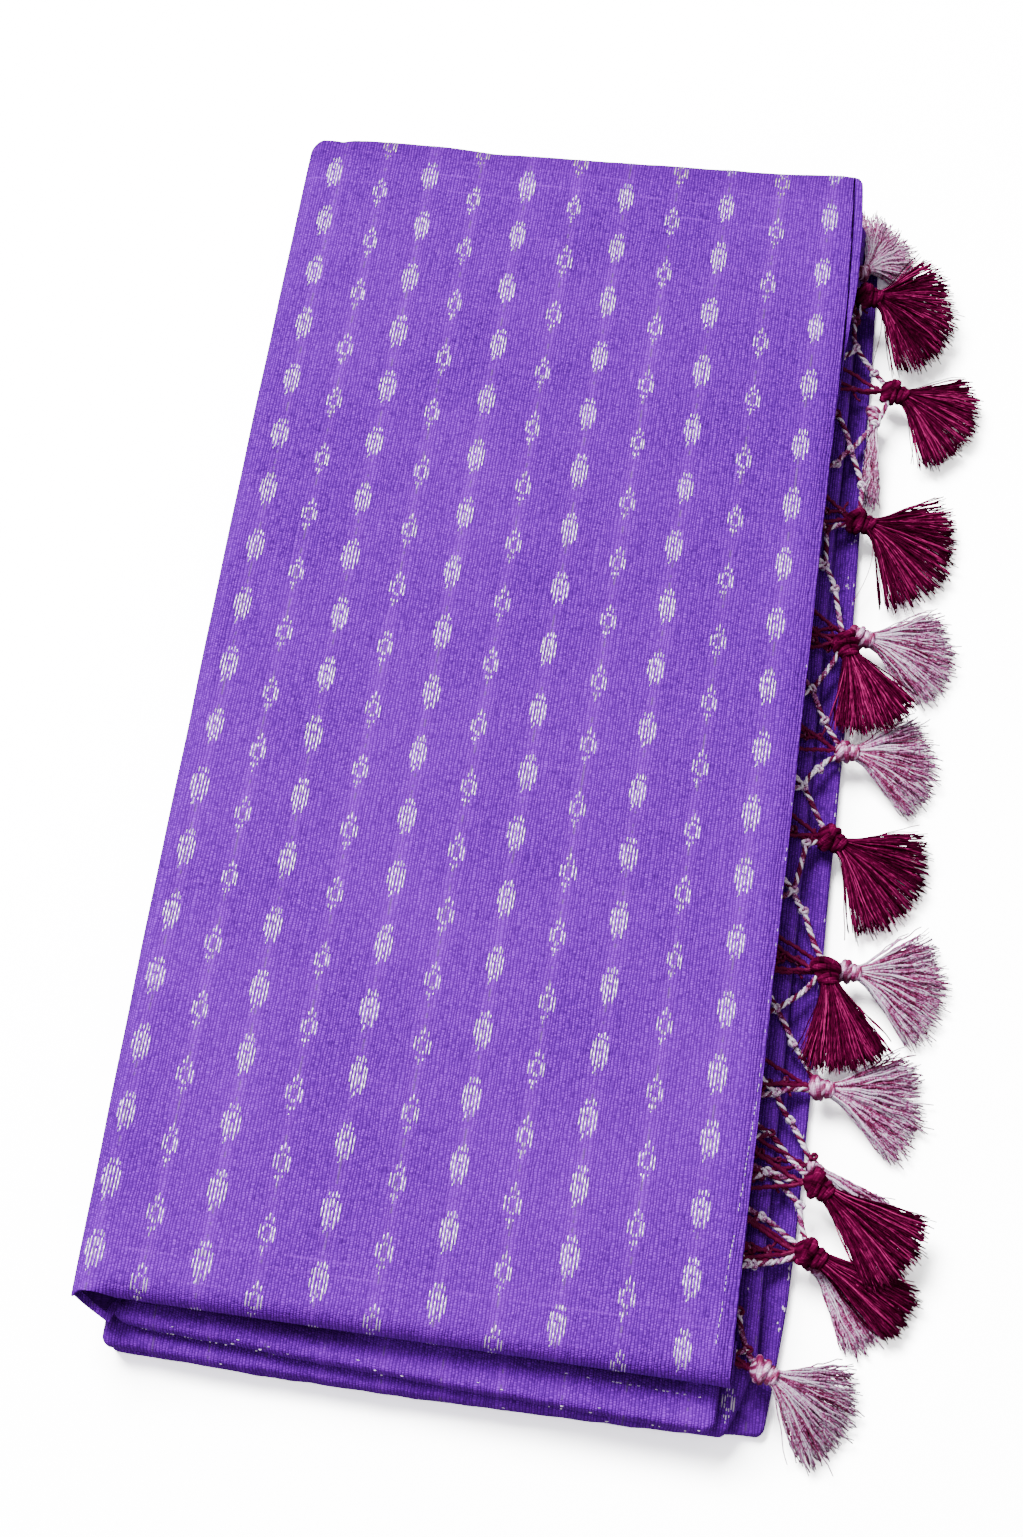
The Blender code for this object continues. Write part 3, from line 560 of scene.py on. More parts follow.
class Bundle:
    """Gathers the grids and tubes of one piece, with one number for each point."""

    def __init__(self):
        self.points, self.faces, self.uv, self.tone, self.count = [], [], [], [], 0

    def add(self, points, faces, uv, tone, caps=()):
        """Adds a grid, its faces and caps counted from its own first point."""
        self.points.append(points.reshape(-1, 3))
        for part in (faces, caps):
            self.faces += (np.asarray(part, int) + self.count).tolist()
        self.uv.append(uv.reshape(-1, 2))
        self.tone.append(np.broadcast_to(np.asarray(tone, float).ravel(), len(self.points[-1])))
        self.count += len(self.points[-1])

    def add_tubes(self, paths, radii, sides, tone):
        """Tubes along paths: a ring of points round each station, square to the path.

        paths is N x M x 3, radii and tone N x M. The ring stands on two axes square to
        the path's own direction, the second one nearest to upright.
        """
        count, stations = paths.shape[:2]
        ahead, aside, above = path_axes(paths, LEAN_UP)
        turn = np.arange(sides) * 2 * math.pi / sides
        rings = (paths[:, :, None] + radii[:, :, None, None] * (
            column_of(np.cos(turn)) * aside[:, :, None] + column_of(np.sin(turn)) * above[:, :, None]))
        first = column_of(np.arange(count) * stations * sides)
        faces = grid_faces(stations, sides, closed=True)[None] + first[..., None]
        steps = np.cumsum(np.linalg.norm(np.diff(paths, axis=1), axis=-1), axis=1)
        length = np.concatenate([np.zeros((count, 1)), steps], axis=1)
        around = np.minimum(np.arange(sides), sides - np.arange(sides)) / sides * 2.0
        ends = first + np.arange(sides)
        caps = np.concatenate([ends, (ends + (stations - 1) * sides)[:, ::-1]])
        self.add(rings, faces.reshape(-1, 4), stacked(around, length[:, :, None]), np.repeat(tone.ravel(), sides), caps)

    def add_thread(self, line, radius, sides, tone):
        """One tube, with one radius or one for each station."""
        self.add_tubes(line[None], np.broadcast_to(radius, (1, len(line))), sides, tone)

    def piece(self, name, field="tone"):
        """The gathered grids as one mesh object, with their numbers in a field."""
        return new_piece(name, np.concatenate(self.points), self.faces, np.concatenate(self.uv),
                         **{field: np.concatenate(self.tone)})


def path_axes(paths, up=(0.0, 0.0, 1.0)):
    """Unit directions along a path, to its side and above it."""
    ahead = np.gradient(paths, axis=-2)
    ahead /= np.linalg.norm(ahead, axis=-1, keepdims=True) + TINY
    aside = np.cross(ahead, up)
    aside /= np.linalg.norm(aside, axis=-1, keepdims=True) + TINY
    return ahead, aside, np.cross(aside, ahead)


# Forms of the cloth.


def run(y):
    """A y's share of the way from the front end of the sides to their back end."""
    return (y - TOP_FRONT[0]) / (TOP_BACK[1] - TOP_FRONT[0])


def left_side(y):
    """The closed side's x: straight, less a bow that is deepest halfway along."""
    return between(TOP_LEFT, run(y)) - TOP_LEFT_BOW * bow(run(y))


def right_side(y):
    """The open edge's x: straight, and stepped in near the back, where the layer below it shows."""
    return between(TOP_RIGHT, run(y)) - BACK_STEP * np.clip((y - BACK_STEP_FROM[0]) / BACK_STEP_FROM[1], 0.0, 1.0) ** 2


def creases(x, y):
    """Sum of soft ridges: each is its height times a bell of the distance from its wandering line."""
    total = np.zeros(np.broadcast(x, y).shape)
    for x0, y0, x1, y1, width, height in TOP_CREASES:
        length = math.hypot(x1 - x0, y1 - y0)
        ahead = (x1 - x0) / length, (y1 - y0) / length
        along = ((x - x0) * ahead[0] + (y - y0) * ahead[1]) / length
        away = (x - x0) * ahead[1] - (y - y0) * ahead[0]
        wander = width * 0.5 * np.sin(along * 9.0 + x0) + width * 0.3 * np.sin(along * 23.0 + y0)
        ends = smooth_step(along * 4 + 0.5) * smooth_step((1 - along) * 4 + 0.5)
        total += height * ends * np.exp(-(((away + wander) / width) ** 2))
    return total


def ripples(x, y, amount):
    """Slow waves of the cloth: four crossed sines longer along the pack than across it."""
    return amount * (
        np.sin(x / 9.1 + np.sin(y / 47.0) * 1.3) * np.sin(y / 31.0 + x / 83.0)
        + 0.6 * np.sin(x / 4.3 + y / 61.0 + 2.0) * np.sin(y / 17.0 - x / 37.0 + 1.0)
        + 0.35 * np.sin(x / 2.3 - y / 29.0) * np.sin(y / 11.0 + x / 13.0 + 4.0)
        + 0.5 * np.sin(y / 7.3 + np.sin(x / 21.0) * 2.0) * np.sin(x / 15.0 + 1.0)
    )


def way_under(turn, under):
    """How far the left roll's cloth has gone back under, past the roll's outermost place."""
    return TOP_ROLL * (1 - np.sin(turn)) * (turn > math.pi / 2) + under


def lip(gone, late=0.0):
    """How far the left roll's end stands out in front: straight out, then back in by a smooth step."""
    return LIP_REACH * np.clip(gone / LIP_WIDTH, 0.0, 1.0) - SETBACK * smooth_step((gone - LIP_WIDTH + late) / LIP_END)


def roll_reach(curl, tail=0.0):
    """Length of cloth from the start of an end roll round its curl and on by its tail."""
    return TOP_ROLL * (1 - np.sin(np.minimum(curl, math.pi / 2))) + TOP_ROLL * curl + tail


def top_limits(s):
    """For a place across: turn, return, share across, curl, start and end of the flat part, and tail."""
    turn = np.clip((s - FLAT_SPAN) / TOP_ROLL, 0.0, math.pi)
    under = np.clip(s - FLAT_SPAN - ROLL_SPAN, 0.0, RETURN)
    across = np.clip(s / FLAT_SPAN, 0.0, 1.0)
    from_left = (1 - across) * TOP_SPAN
    curl = math.pi * smooth_step((from_left + CREASE_START - CREASE_FADE * turn) / CREASE_REACH)
    rim = LIP_RIM * np.exp(-(((turn - LIP_RIM_TURN[0]) / LIP_RIM_TURN[1]) ** 2))
    front = between(TOP_FRONT, 1 - across) - lip(way_under(turn, under)) - rim
    rise = BACK_SLOPE[0] * np.clip(1 - from_left / BACK_SLOPE[1], 0.0, 1.0)
    rise = rise + BACK_RISE[0] * (1 - smooth_step((from_left - BACK_RISE[1]) / BACK_RISE[2]))
    rise = rise * smooth_step(from_left / BACK_START) + BACK_CORNER * (1 - across) ** 6
    back = between(TOP_BACK, 1 - across) + rise - CORNER_TRIM * np.sin(turn) ** 2
    tail = TAIL * smooth_step((curl / math.pi - 0.8) / 0.2) + TAIL_LEAST
    return turn, under, across, curl, front + TOP_ROLL, back - TOP_ROLL, tail


def top_form(s, v, lift=0.0):
    """Point of the top stretch for s across from its open edge and v along it.

    Across: straight, then a half circle of the roll's radius, then straight under.
    Along: straight between the front and back rolls, round each by its curl, then on
    by its tail. Creases and waves move it along its own normal.
    """
    turn, under, across, curl, start, end, _ = top_limits(s)
    flat = TOP_ROLL * (1 - np.sin(np.minimum(curl, math.pi / 2)))
    crown = TOP_CROWN * (1 - (2 * across - 1) ** 2)
    droop = EDGE_DROOP * (1 - smooth_step(across * TOP_SPAN / EDGE_REACH)) ** 2
    droop = droop * (1 - DROOP_FADE[0] * smooth_step((v - DROOP_FADE[1]) / DROOP_FADE[2]))
    inward = np.where(v < (start + end) / 2, 1.0, -1.0)
    edge = np.where(inward > 0, start, end)
    gone = np.maximum((edge - v) * inward, 0.0)
    angle = np.clip((gone - flat) / TOP_ROLL, 0.0, curl)
    beyond = np.maximum(gone - flat - TOP_ROLL * curl, 0.0)
    ahead = np.minimum(gone, flat) + TOP_ROLL * np.sin(angle) + beyond * np.cos(angle)
    drop = TOP_ROLL * (1 - np.cos(angle)) + beyond * np.sin(angle)
    y = np.where(gone > 0, edge - inward * ahead, v)
    right = right_side(y)
    x = right + across * (left_side(y) + TOP_ROLL - right) - (TOP_ROLL - drop) * np.sin(turn) + under
    shift = np.where(inward > 0, EDGE_SHIFT, EDGE_SHIFT + BACK_STEP)
    x = x + shift * (1 - across) ** 8 * (1 - np.cos(angle)) / 2
    z = TOP_LEVELS[1] + crown - droop - drop - (TOP_ROLL - drop) * (1 - np.cos(turn))
    z = z - crown * (1 - np.cos(angle)) / 2
    upright = np.clip(np.cos(angle) * np.cos(turn) + 0.25, 0.0, 1.0)
    out = lift + (creases(x, y) + ripples(x, v, TOP_WAVES)) * upright
    x = x - out * np.sin(turn) * np.cos(angle)
    y = y - out * inward * np.sin(angle) * (turn < 0.2)
    z = z + out * np.where(turn > math.pi / 2, np.cos(turn), np.cos(angle))
    return stacked(x, y, np.maximum(z, TOP_LEVELS[0] + 0.02))


def flat_limits(v):
    """Left and right x of the top stretch's flat part at a place along it."""
    y = np.clip(v, TOP_FRONT[0], TOP_BACK[1])
    return left_side(y) + TOP_ROLL, right_side(y)


def grain(s, v):
    """UV of the top stretch: unrolled x less the grain's slant, and unrolled y."""
    left, right = flat_limits(v)
    x = np.where(s < FLAT_SPAN, right + s / FLAT_SPAN * (left - right), left - (s - FLAT_SPAN))
    return stacked(x - GRAIN_SLOPE * v, v)


def across_at(x, v):
    """The s of a column of grain x at v: grain() solved for s."""
    left, right = flat_limits(v)
    place = x + GRAIN_SLOPE * v
    flat = FLAT_SPAN * (right - place) / (right - left)
    return np.where(place > left, flat, FLAT_SPAN + left - place)


def column_number(x):
    """A butta column's number at a grain x, whole on each column, straight between them."""
    places = sorted(column[0] for column in (*BRIGHT_COLUMNS, *HOLLOW_COLUMNS))
    places = [places[0] - OUTER_PITCH[0] * 3, *places, places[-1] + OUTER_PITCH[1] * 2]
    return np.interp(x, places, [-3.0, *range(len(places) - 2), len(places) - 1.0])


def rounded_outline(corners, steps, inset=0.0):
    """One loop round a stretch moved in by an inset, and its outward normals.

    A corner's arc keeps its centre as its radius shrinks, and past that moves in
    with the sides. Every inset gives the same count of points.
    """
    xy = np.array([corner[:2] for corner in corners], float)
    along = np.roll(xy, -1, axis=0) - xy
    lengths = np.linalg.norm(along, axis=1)
    along /= lengths[:, None]
    outward = np.stack([along[:, 1], -along[:, 0]], axis=1)
    arcs, facings = [], []
    for index, corner in enumerate(corners):
        sides = outward[[index - 1, index]]
        radius = max(corner[2] - inset, TIGHTEST)
        centre = np.linalg.solve(sides, sides @ xy[index] - inset - radius)
        start, stop = np.arctan2(sides[:, 1], sides[:, 0])
        turns = start + np.linspace(0, (stop - start) % (2 * math.pi), 9)
        facings.append(np.stack([np.cos(turns), np.sin(turns)], axis=1))
        arcs.append(centre + radius * facings[-1])
    points, normals = [], []
    for index, corner in enumerate(corners):
        ends = arcs[index][-1], arcs[(index + 1) % len(corners)][0]
        count = max(int(lengths[index] / steps), 2)
        part = (np.arange(count - 1) + 1.0)[:, None] / count
        points += [arcs[index], between(ends, part) + outward[index] * corner[3] * bow(part)]
        normals += [facings[index], np.repeat(outward[index][None], count - 1, axis=0)]
    return np.concatenate(points), np.concatenate(normals)


def nose_profile(turn):
    """Sine and cosine of a turn, each to the power FOLD_SQUARE with its sign kept."""
    sine, cosine = np.clip(np.sin(turn), 0.0, 1.0), np.cos(turn)
    return sine ** FOLD_SQUARE, np.sign(cosine) * np.abs(cosine) ** FOLD_SQUARE


def painted_slit_shade(points, lean, front, right, ahead, reach, below):
    """How deep a place is in the slit under the stretch above it, which is its painted shade: 0 outside its edges, 1
    from reach inside.

    The place is inside by the lesser of its distances from the front line and from
    the right edge; the lower half of a nose is in the slit below it and gets the painted shade given by below.
    """
    x, y = points[..., 0], points[..., 1]
    line = np.interp(x, (TOP_LEFT[0], TOP_RIGHT[1]), front)
    inside = np.minimum(y - line, np.interp(y, SLIT_SPAN, right) - x)
    above = smooth_step((inside + ahead) / reach) * smooth_step((1.1 - lean) / 0.4)
    return np.maximum(above, below * smooth_step((lean - 2.15) / 0.6))


def fold_form(corners, levels, puckers, steps):
    """A stretch folded over all round: points, UV and the lean of each loop.

    Each loop is the outline moved in by an inset. The profile is flat above, a
    squarish half round at the edge (the sine and cosine of its turn, each to the
    power FOLD_SQUARE) and flat below; waves move it along its own normal.
    """
    normal = rounded_outline(corners, steps)[1]
    low, high = levels
    radius = (high - low) / 2
    turn = np.linspace(0, math.pi, FOLD_ROWS[1])
    inner = np.linspace(FOLD_TAIL, 0, FOLD_ROWS[0])[:-1]
    level = np.ones(len(inner))
    sine, cosine = nose_profile(turn)
    inset = np.concatenate([radius + inner, radius - radius * sine, radius + inner[::-1]])
    height = np.concatenate([high * level, (high + low) / 2 + radius * cosine, low * level])
    lean = column_of(np.concatenate([0 * level, turn, math.pi * level]))
    gone = np.concatenate([[0.0], np.cumsum(np.hypot(np.diff(inset), np.diff(height)))])
    xy = np.stack([rounded_outline(corners, steps, value)[0] for value in inset])
    uv = np.stack([rounded_outline(corners, steps, inset[0] - value)[0] for value in gone])
    x, y = uv[..., 0], uv[..., 1]
    out = ripples(x * 1.3 + puckers, y * 1.1, FOLD_WAVES[0])
    out = out + FOLD_WAVES[1] * np.sin(x / 1.9 + y / 23.0 + puckers)
    xy = xy + normal[None] * (out * np.sin(lean))[..., None]
    return stacked(xy[..., 0], xy[..., 1], column_of(height)), uv, lean


# Shader effects that more than one material uses.


class Tree:
    """Short words for making and joining nodes."""

    def __init__(self, tree):
        self.tree, self.made = tree, 0

    def node(self, kind, **settings):
        """A shader node of a kind with its settings, laid out in rows of twelve."""
        node = self.tree.nodes.new("ShaderNode" + kind)
        node.location = (220 * (self.made % 12) - 1300, 260 - 240 * (self.made // 12))
        self.made += 1
        for key, value in settings.items():
            setattr(node, key, value)
        return node

    def fill(self, node, values):
        """Joins a node's sockets, by name or number, to outputs or sets them to plain values."""
        for key, value in values.items():
            if isinstance(value, bpy.types.NodeSocket):
                self.tree.links.new(value, node.inputs[key])
            elif value is not None:
                node.inputs[key].default_value = value
        return node

    def math(self, operation, *values):
        """One operation on up to three values."""
        return self.fill(self.node("Math", operation=operation), dict(enumerate(values))).outputs[0]

    def times(self, a, b):
        """a times b."""
        return self.math("MULTIPLY", a, b)

    def add_times(self, a, b, c):
        """a times b, plus c."""
        return self.math("MULTIPLY_ADD", a, b, c)

    def ridge(self, value):
        """The absolute sine of a value, 0 where it is whole."""
        return self.math("ABSOLUTE", self.math("SINE", self.times(value, math.pi)))

    def mix(self, factor, a, b, blend="MIX"):
        """Colour a turned into b by a factor."""
        return self.fill(self.node("Mix", data_type="RGBA", blend_type=blend), {0: factor, 6: a, 7: b}).outputs[2]

    def noise(self, vector, scale=1.0, detail=2.0, rough=0.5):
        """Soft cloudy noise from 0 to 1."""
        given = {"Vector": vector, "Scale": scale, "Detail": detail, "Roughness": rough}
        return self.fill(self.node("TexNoise"), given).outputs["Fac"]

    def join(self, x, y, z=0.0):
        """A vector of three values."""
        return self.fill(self.node("CombineXYZ"), {0: x, 1: y, 2: z}).outputs[0]

    def split(self, vector):
        """A vector's three values."""
        return self.fill(self.node("SeparateXYZ"), {0: vector}).outputs

    def streaks(self, x, y, across, along, z=0.0, detail=2.0, rough=0.5):
        """Noise drawn out by its own factor across and along."""
        return self.noise(self.join(self.times(x, across), self.times(y, along), z), 1.0, detail, rough)

    def spread(self, value, low, high, to_low=0.0, to_high=1.0):
        """A value's way from low to high, taken to another span and held within it."""
        return self.fill(self.node("MapRange"), dict(enumerate((value, low, high, to_low, to_high)))).outputs[0]

    def field(self, name):
        """The piece's own attribute."""
        return self.node("Attribute", attribute_name=name).outputs["Fac"]

    def bump(self, shader, height, strength, distance):
        """Lays a height on a shader as bumps."""
        made = self.fill(self.node("Bump"), {"Strength": strength, "Distance": distance, "Height": height})
        self.fill(shader, {"Normal": made.outputs[0]})


def shader_group(name, inputs, build):
    """A node group made once, from its inputs' defaults and a function that returns its outputs."""
    old = bpy.data.node_groups.get(name)
    if old:
        return old
    group = bpy.data.node_groups.new(name, "ShaderNodeTree")
    group.interface.new_socket("Vector", in_out="INPUT", socket_type="NodeSocketVector")
    for socket, value in inputs.items():
        made = group.interface.new_socket(socket, in_out="INPUT", socket_type="NodeSocketFloat")
        made.default_value = value
    t = Tree(group)
    given = group.nodes.new("NodeGroupInput").outputs
    scaled = t.fill(t.node("VectorMath", operation="SCALE"), {0: given["Vector"], "Scale": 1 / MM})
    outputs = build(t, given, *t.split(scaled.outputs[0])[:2])
    for socket in outputs:
        group.interface.new_socket(socket, in_out="OUTPUT", socket_type="NodeSocketFloat")
    t.fill(group.nodes.new("NodeGroupOutput"), outputs)
    return group


def weave(t, given, x, y):
    """Ribs along the pack crossed by finer threads, with uneven threads and slubs.

    A rib is the absolute sine of its phase across, a crossing the absolute sine of
    its phase along, half a pitch on in every other rib.
    """
    wander = t.streaks(x, y, 0.35, 0.05)
    ripple = t.streaks(x, y, 0.9, 0.30, 7.0, 1.0)
    shifted = t.math("ADD", x, t.add_times(wander, 1.5, t.times(ripple, 0.7)))
    phase = t.math("DIVIDE", shifted, given["Rib Pitch"])
    number = t.math("FLOOR", phase)
    rib = t.ridge(phase)
    along = t.add_times(number, 0.5, t.math("DIVIDE", y, given["Cross Pitch"]))
    along = t.math("ADD", along, t.times(t.streaks(x, y, 0.22, 0.5, 3.0, 1.0), 1.6))
    cross = t.ridge(along)
    white = t.fill(t.node("TexWhiteNoise", noise_dimensions="2D"), {"Vector": t.join(number, t.math("FLOOR", along))})
    streak = t.streaks(number, y, 3.7, 0.05, 1.0, 3.0, 0.6)
    patch = t.streaks(x, y, 0.55, 0.55, 13.0)
    tone = t.add_times(white.outputs["Value"], 0.42, t.add_times(streak, 0.28, t.times(patch, 0.42)))
    weft = t.streaks(x, y, 0.03, 1.3, 9.0)
    height = t.add_times(rib, 0.62, t.times(t.times(cross, rib), 0.42))
    return {
        "Height": t.add_times(weft, 0.12, height),
        "Rib": t.times(t.math("POWER", rib, 0.7), t.add_times(cross, 0.72, 0.28)),
        "Thread Tone": tone,
        "Slub": t.spread(t.streaks(number, y, 1.3, 0.16, 5.0), 0.62, 0.78),
        "Cloud": t.streaks(x, y, 0.022, 0.016, 2.0, 3.0),
        "Weft": t.spread(weft, 0.60, 0.74),
        "Broken": t.spread(t.streaks(x, y, 0.02, 0.30, 11.0), 0.50, 0.56),
    }


def fibre(t, given, x, y):
    """Fine fibres that run round a thread as it is twisted, and its tone: lower between the fibres, painted shade, and
    changing slowly at random.
    """
    strand = t.ridge(t.add_times(x, given["Around"], t.times(y, given["Twist"])))
    tone = t.noise(t.join(x, t.times(y, 0.4)), 1.1)
    return {"Height": strand, "Tone": t.add_times(strand, 0.5, t.times(tone, 0.5))}


def rgba(colour, gain=1.0):
    """A colour times a gain, at most white, and opaque."""
    return (*[min(channel * gain, 1.0) for channel in colour], 1.0)


def start_material(name, effect=None, settings=None, build=None):
    """A material, its tree and shader, and the piece's UV with an effect laid on it."""
    material = bpy.data.materials.new(name)
    material.use_nodes = True
    t = Tree(material.node_tree)
    shader = material.node_tree.nodes["Principled BSDF"]
    if not effect:
        return material, t, shader
    uv = t.node("UVMap", uv_map="cloth").outputs[0]
    laid = t.node("Group", node_tree=shader_group(effect, settings, build))
    return material, t, shader, uv, t.fill(laid, {"Vector": uv, **settings}).outputs


def cloth_material(name, gain=1.0, stripes=True):
    """Purple cotton and silk: ribs with painted shade between them and a painted highlight on their crests, darker and
    lighter threads, faint column stripes, painted shade from the shade field and painted light towards the front.
    """
    if name in bpy.data.materials:
        return bpy.data.materials[name]
    values = bpy.context.scene.saree_cloth
    # A gain below 1 gives a darker copy of the cloth, painted shade.
    deep, base, light = (rgba(colour, gain) for colour in (values.deep, values.base, values.light))
    pitches = {"Rib Pitch": values.rib_pitch, "Cross Pitch": values.cross_pitch}
    material, t, shader, uv, woven = start_material(name, "Handloom weave", pitches, weave)
    # Painted shade and highlight: the rib mask darkens the cloth between the ribs and the crest mask lightens the
    # crests of the lighter threads, over the bumps of the same relief.
    rib = t.spread(woven["Rib"], 0.0, 0.58)
    crest = t.times(t.spread(woven["Thread Tone"], 0.44, 0.90, 0.0, 0.78), t.spread(woven["Rib"], 0.40, 0.95))
    low = t.spread(woven["Thread Tone"], 0.46, 0.26, 0.0, 0.74)
    pale = t.times(t.math("MAXIMUM", t.times(woven["Slub"], 0.4), woven["Weft"]), rib)
    steps = [(crest, light), (low, deep), (t.times(pale, 0.24), light),
             (t.spread(woven["Cloud"], 0.35, 0.68, 0.0, 0.10), light)]
    across, along, _ = t.split(uv)
    if stripes:
        number = t.field("column")
        away = t.math("ABSOLUTE", t.math("SUBTRACT", number, t.math("ROUND", number)))
        band = t.times(t.spread(away, 0.03, 0.17, 0.17, 0.0), t.spread(woven["Cloud"], 0.35, 0.62, 0.45, 1.0))
        floating = t.times(t.spread(away, 0.010, 0.024, 0.6, 0.0), woven["Broken"])
        steps += [(band, light), (floating, FLOAT_GREY)]
    # Painted shade: the shade field darkens the cloth towards the dark of a slit. Painted light: the cloth is lighter
    # towards its front end.
    steps += [(t.times(t.field("shade"), 0.88), PAINTED_SHADE_DARK), (t.spread(along, -0.20, 0.10, 0.055, 0.0), light)]
    if stripes:
        lines = None
        for place in WEFT_LINES:
            away = t.math("ABSOLUTE", t.math("SUBTRACT", along, place * MM))
            line = t.spread(away, 0.15 * MM, 0.50 * MM, 1.0, 0.0)
            lines = line if lines is None else t.math("MAXIMUM", lines, line)
        gaps = t.spread(t.streaks(across, along, 60.0, 200.0), 0.44, 0.62, 0.0, 0.30)
        steps.append((t.times(lines, t.times(gaps, t.field("weft_lines"))), light))
    # Painted shade between the ribs, from deep to base purple.
    colour = t.mix(rib, deep, base)
    for factor, tint in steps:
        colour = t.mix(factor, colour, tint)
    ends = t.spread(t.math("ABSOLUTE", along), 0.186, 0.197, 0.12, 1.0)
    wrinkle = t.streaks(across, along, 260.0, 800.0, detail=3.0)
    t.bump(shader, t.add_times(t.times(wrinkle, ends), 1.7, woven["Height"]), 0.8, 0.00034)
    t.fill(shader, {"Base Color": colour, "Roughness": t.spread(rib, 0.0, 1.0, 0.72, 0.50),
                    "Specular IOR Level": 0.01, "Sheen Weight": 0.035, "Sheen Roughness": 0.35,
                    "Sheen Tint": (0.62, 0.36, 1.0, 1.0)})
    return material


def thread_material(name, colours, low=0.0, high=1.0, roughness=0.42, around=3.0, twist=1.2, gloss=0.03,
                    mottle=0.0, grain=0.55, metal=0.0):
    """Thread whose colour goes through three colours by the piece's own tone attribute."""
    spin = {"Around": around, "Twist": twist}
    material, t, shader, uv, spun = start_material(name, "Spun fibre", spin, fibre)
    tone = t.field("tone")
    away, along, _ = t.split(uv)
    patches = t.noise(t.join(t.times(tone, 61.0), t.times(along, grain / MM), away), rough=0.6)
    tone = t.math("ADD", tone, t.times(t.math("SUBTRACT", patches, 0.5), mottle))
    middle = (low + high) / 2
    first, second, third = map(rgba, colours)
    colour = t.mix(t.spread(tone, middle, high), t.mix(t.spread(tone, low, middle), first, second), third)
    # Painted shade between the twisted fibres and a painted highlight on them, with a slow random change of tone.
    shade = t.spread(spun["Tone"], 0.1, 0.8, 0.55, 1.2)
    t.bump(shader, spun["Height"], 0.6, 0.00015)
    t.fill(shader, {"Base Color": t.mix(1.0, colour, t.join(shade, shade, shade), "MULTIPLY"),
                    "Roughness": t.spread(spun["Height"], 0.0, 1.0, roughness + 0.15, roughness),
                    "Specular IOR Level": gloss, "Metallic": metal})
    return material


# The cloth pieces.


class SAREE_OT_top_cloth(bpy.types.Operator):
    """Makes the wide top stretch, rolled under at the front, the back and the left"""

    bl_idname = "saree.top_cloth"
    bl_label = "Top stretch"
    bl_options = {"REGISTER", "UNDO"}

    def execute(self, context):
        s = np.sort(np.concatenate([
            np.linspace(0, FLAT_SPAN, FLAT_ROWS), EDGE_ROWS, FLAT_SPAN + np.linspace(0, ROLL_SPAN, ROUND_ROWS)[1:],
            FLAT_SPAN + ROLL_SPAN + np.linspace(0, RETURN, RETURN_ROWS)[1:]]))[None]
        turn, under, _, curl, start, end, tail = top_limits(s)
        reach = roll_reach(curl, tail)
        ends = column_of(np.linspace(0, 1, END_ROWS))
        middle = column_of(np.linspace(0, 1, LONG_ROWS)[1:-1])
        v = np.concatenate([start - reach * (1 - ends), between((start, end), middle), end + reach * ends])
        uv = grain(s, v)
        # Painted shade: the return under the left roll's lip near the front, and the back roll, darker towards the back
        # edge.
        inner = smooth_step((way_under(turn, under) - LIP_WIDTH + 1.5) / 2.0) * (v < LIP_SHADE_END)
        shade = np.maximum(inner, BACK_SHADE * smooth_step((v - end - TOP_ROLL + BACK_DARK[0]) / BACK_DARK[1]))
        piece = new_piece("top_cloth", top_form(s, v), grid_faces(*v.shape), uv,
                          column=column_number(uv[..., 0]), weft_lines=np.ones(v.shape), shade=shade)
        dress_cloth(piece, "top_stretch")
        return {"FINISHED"}


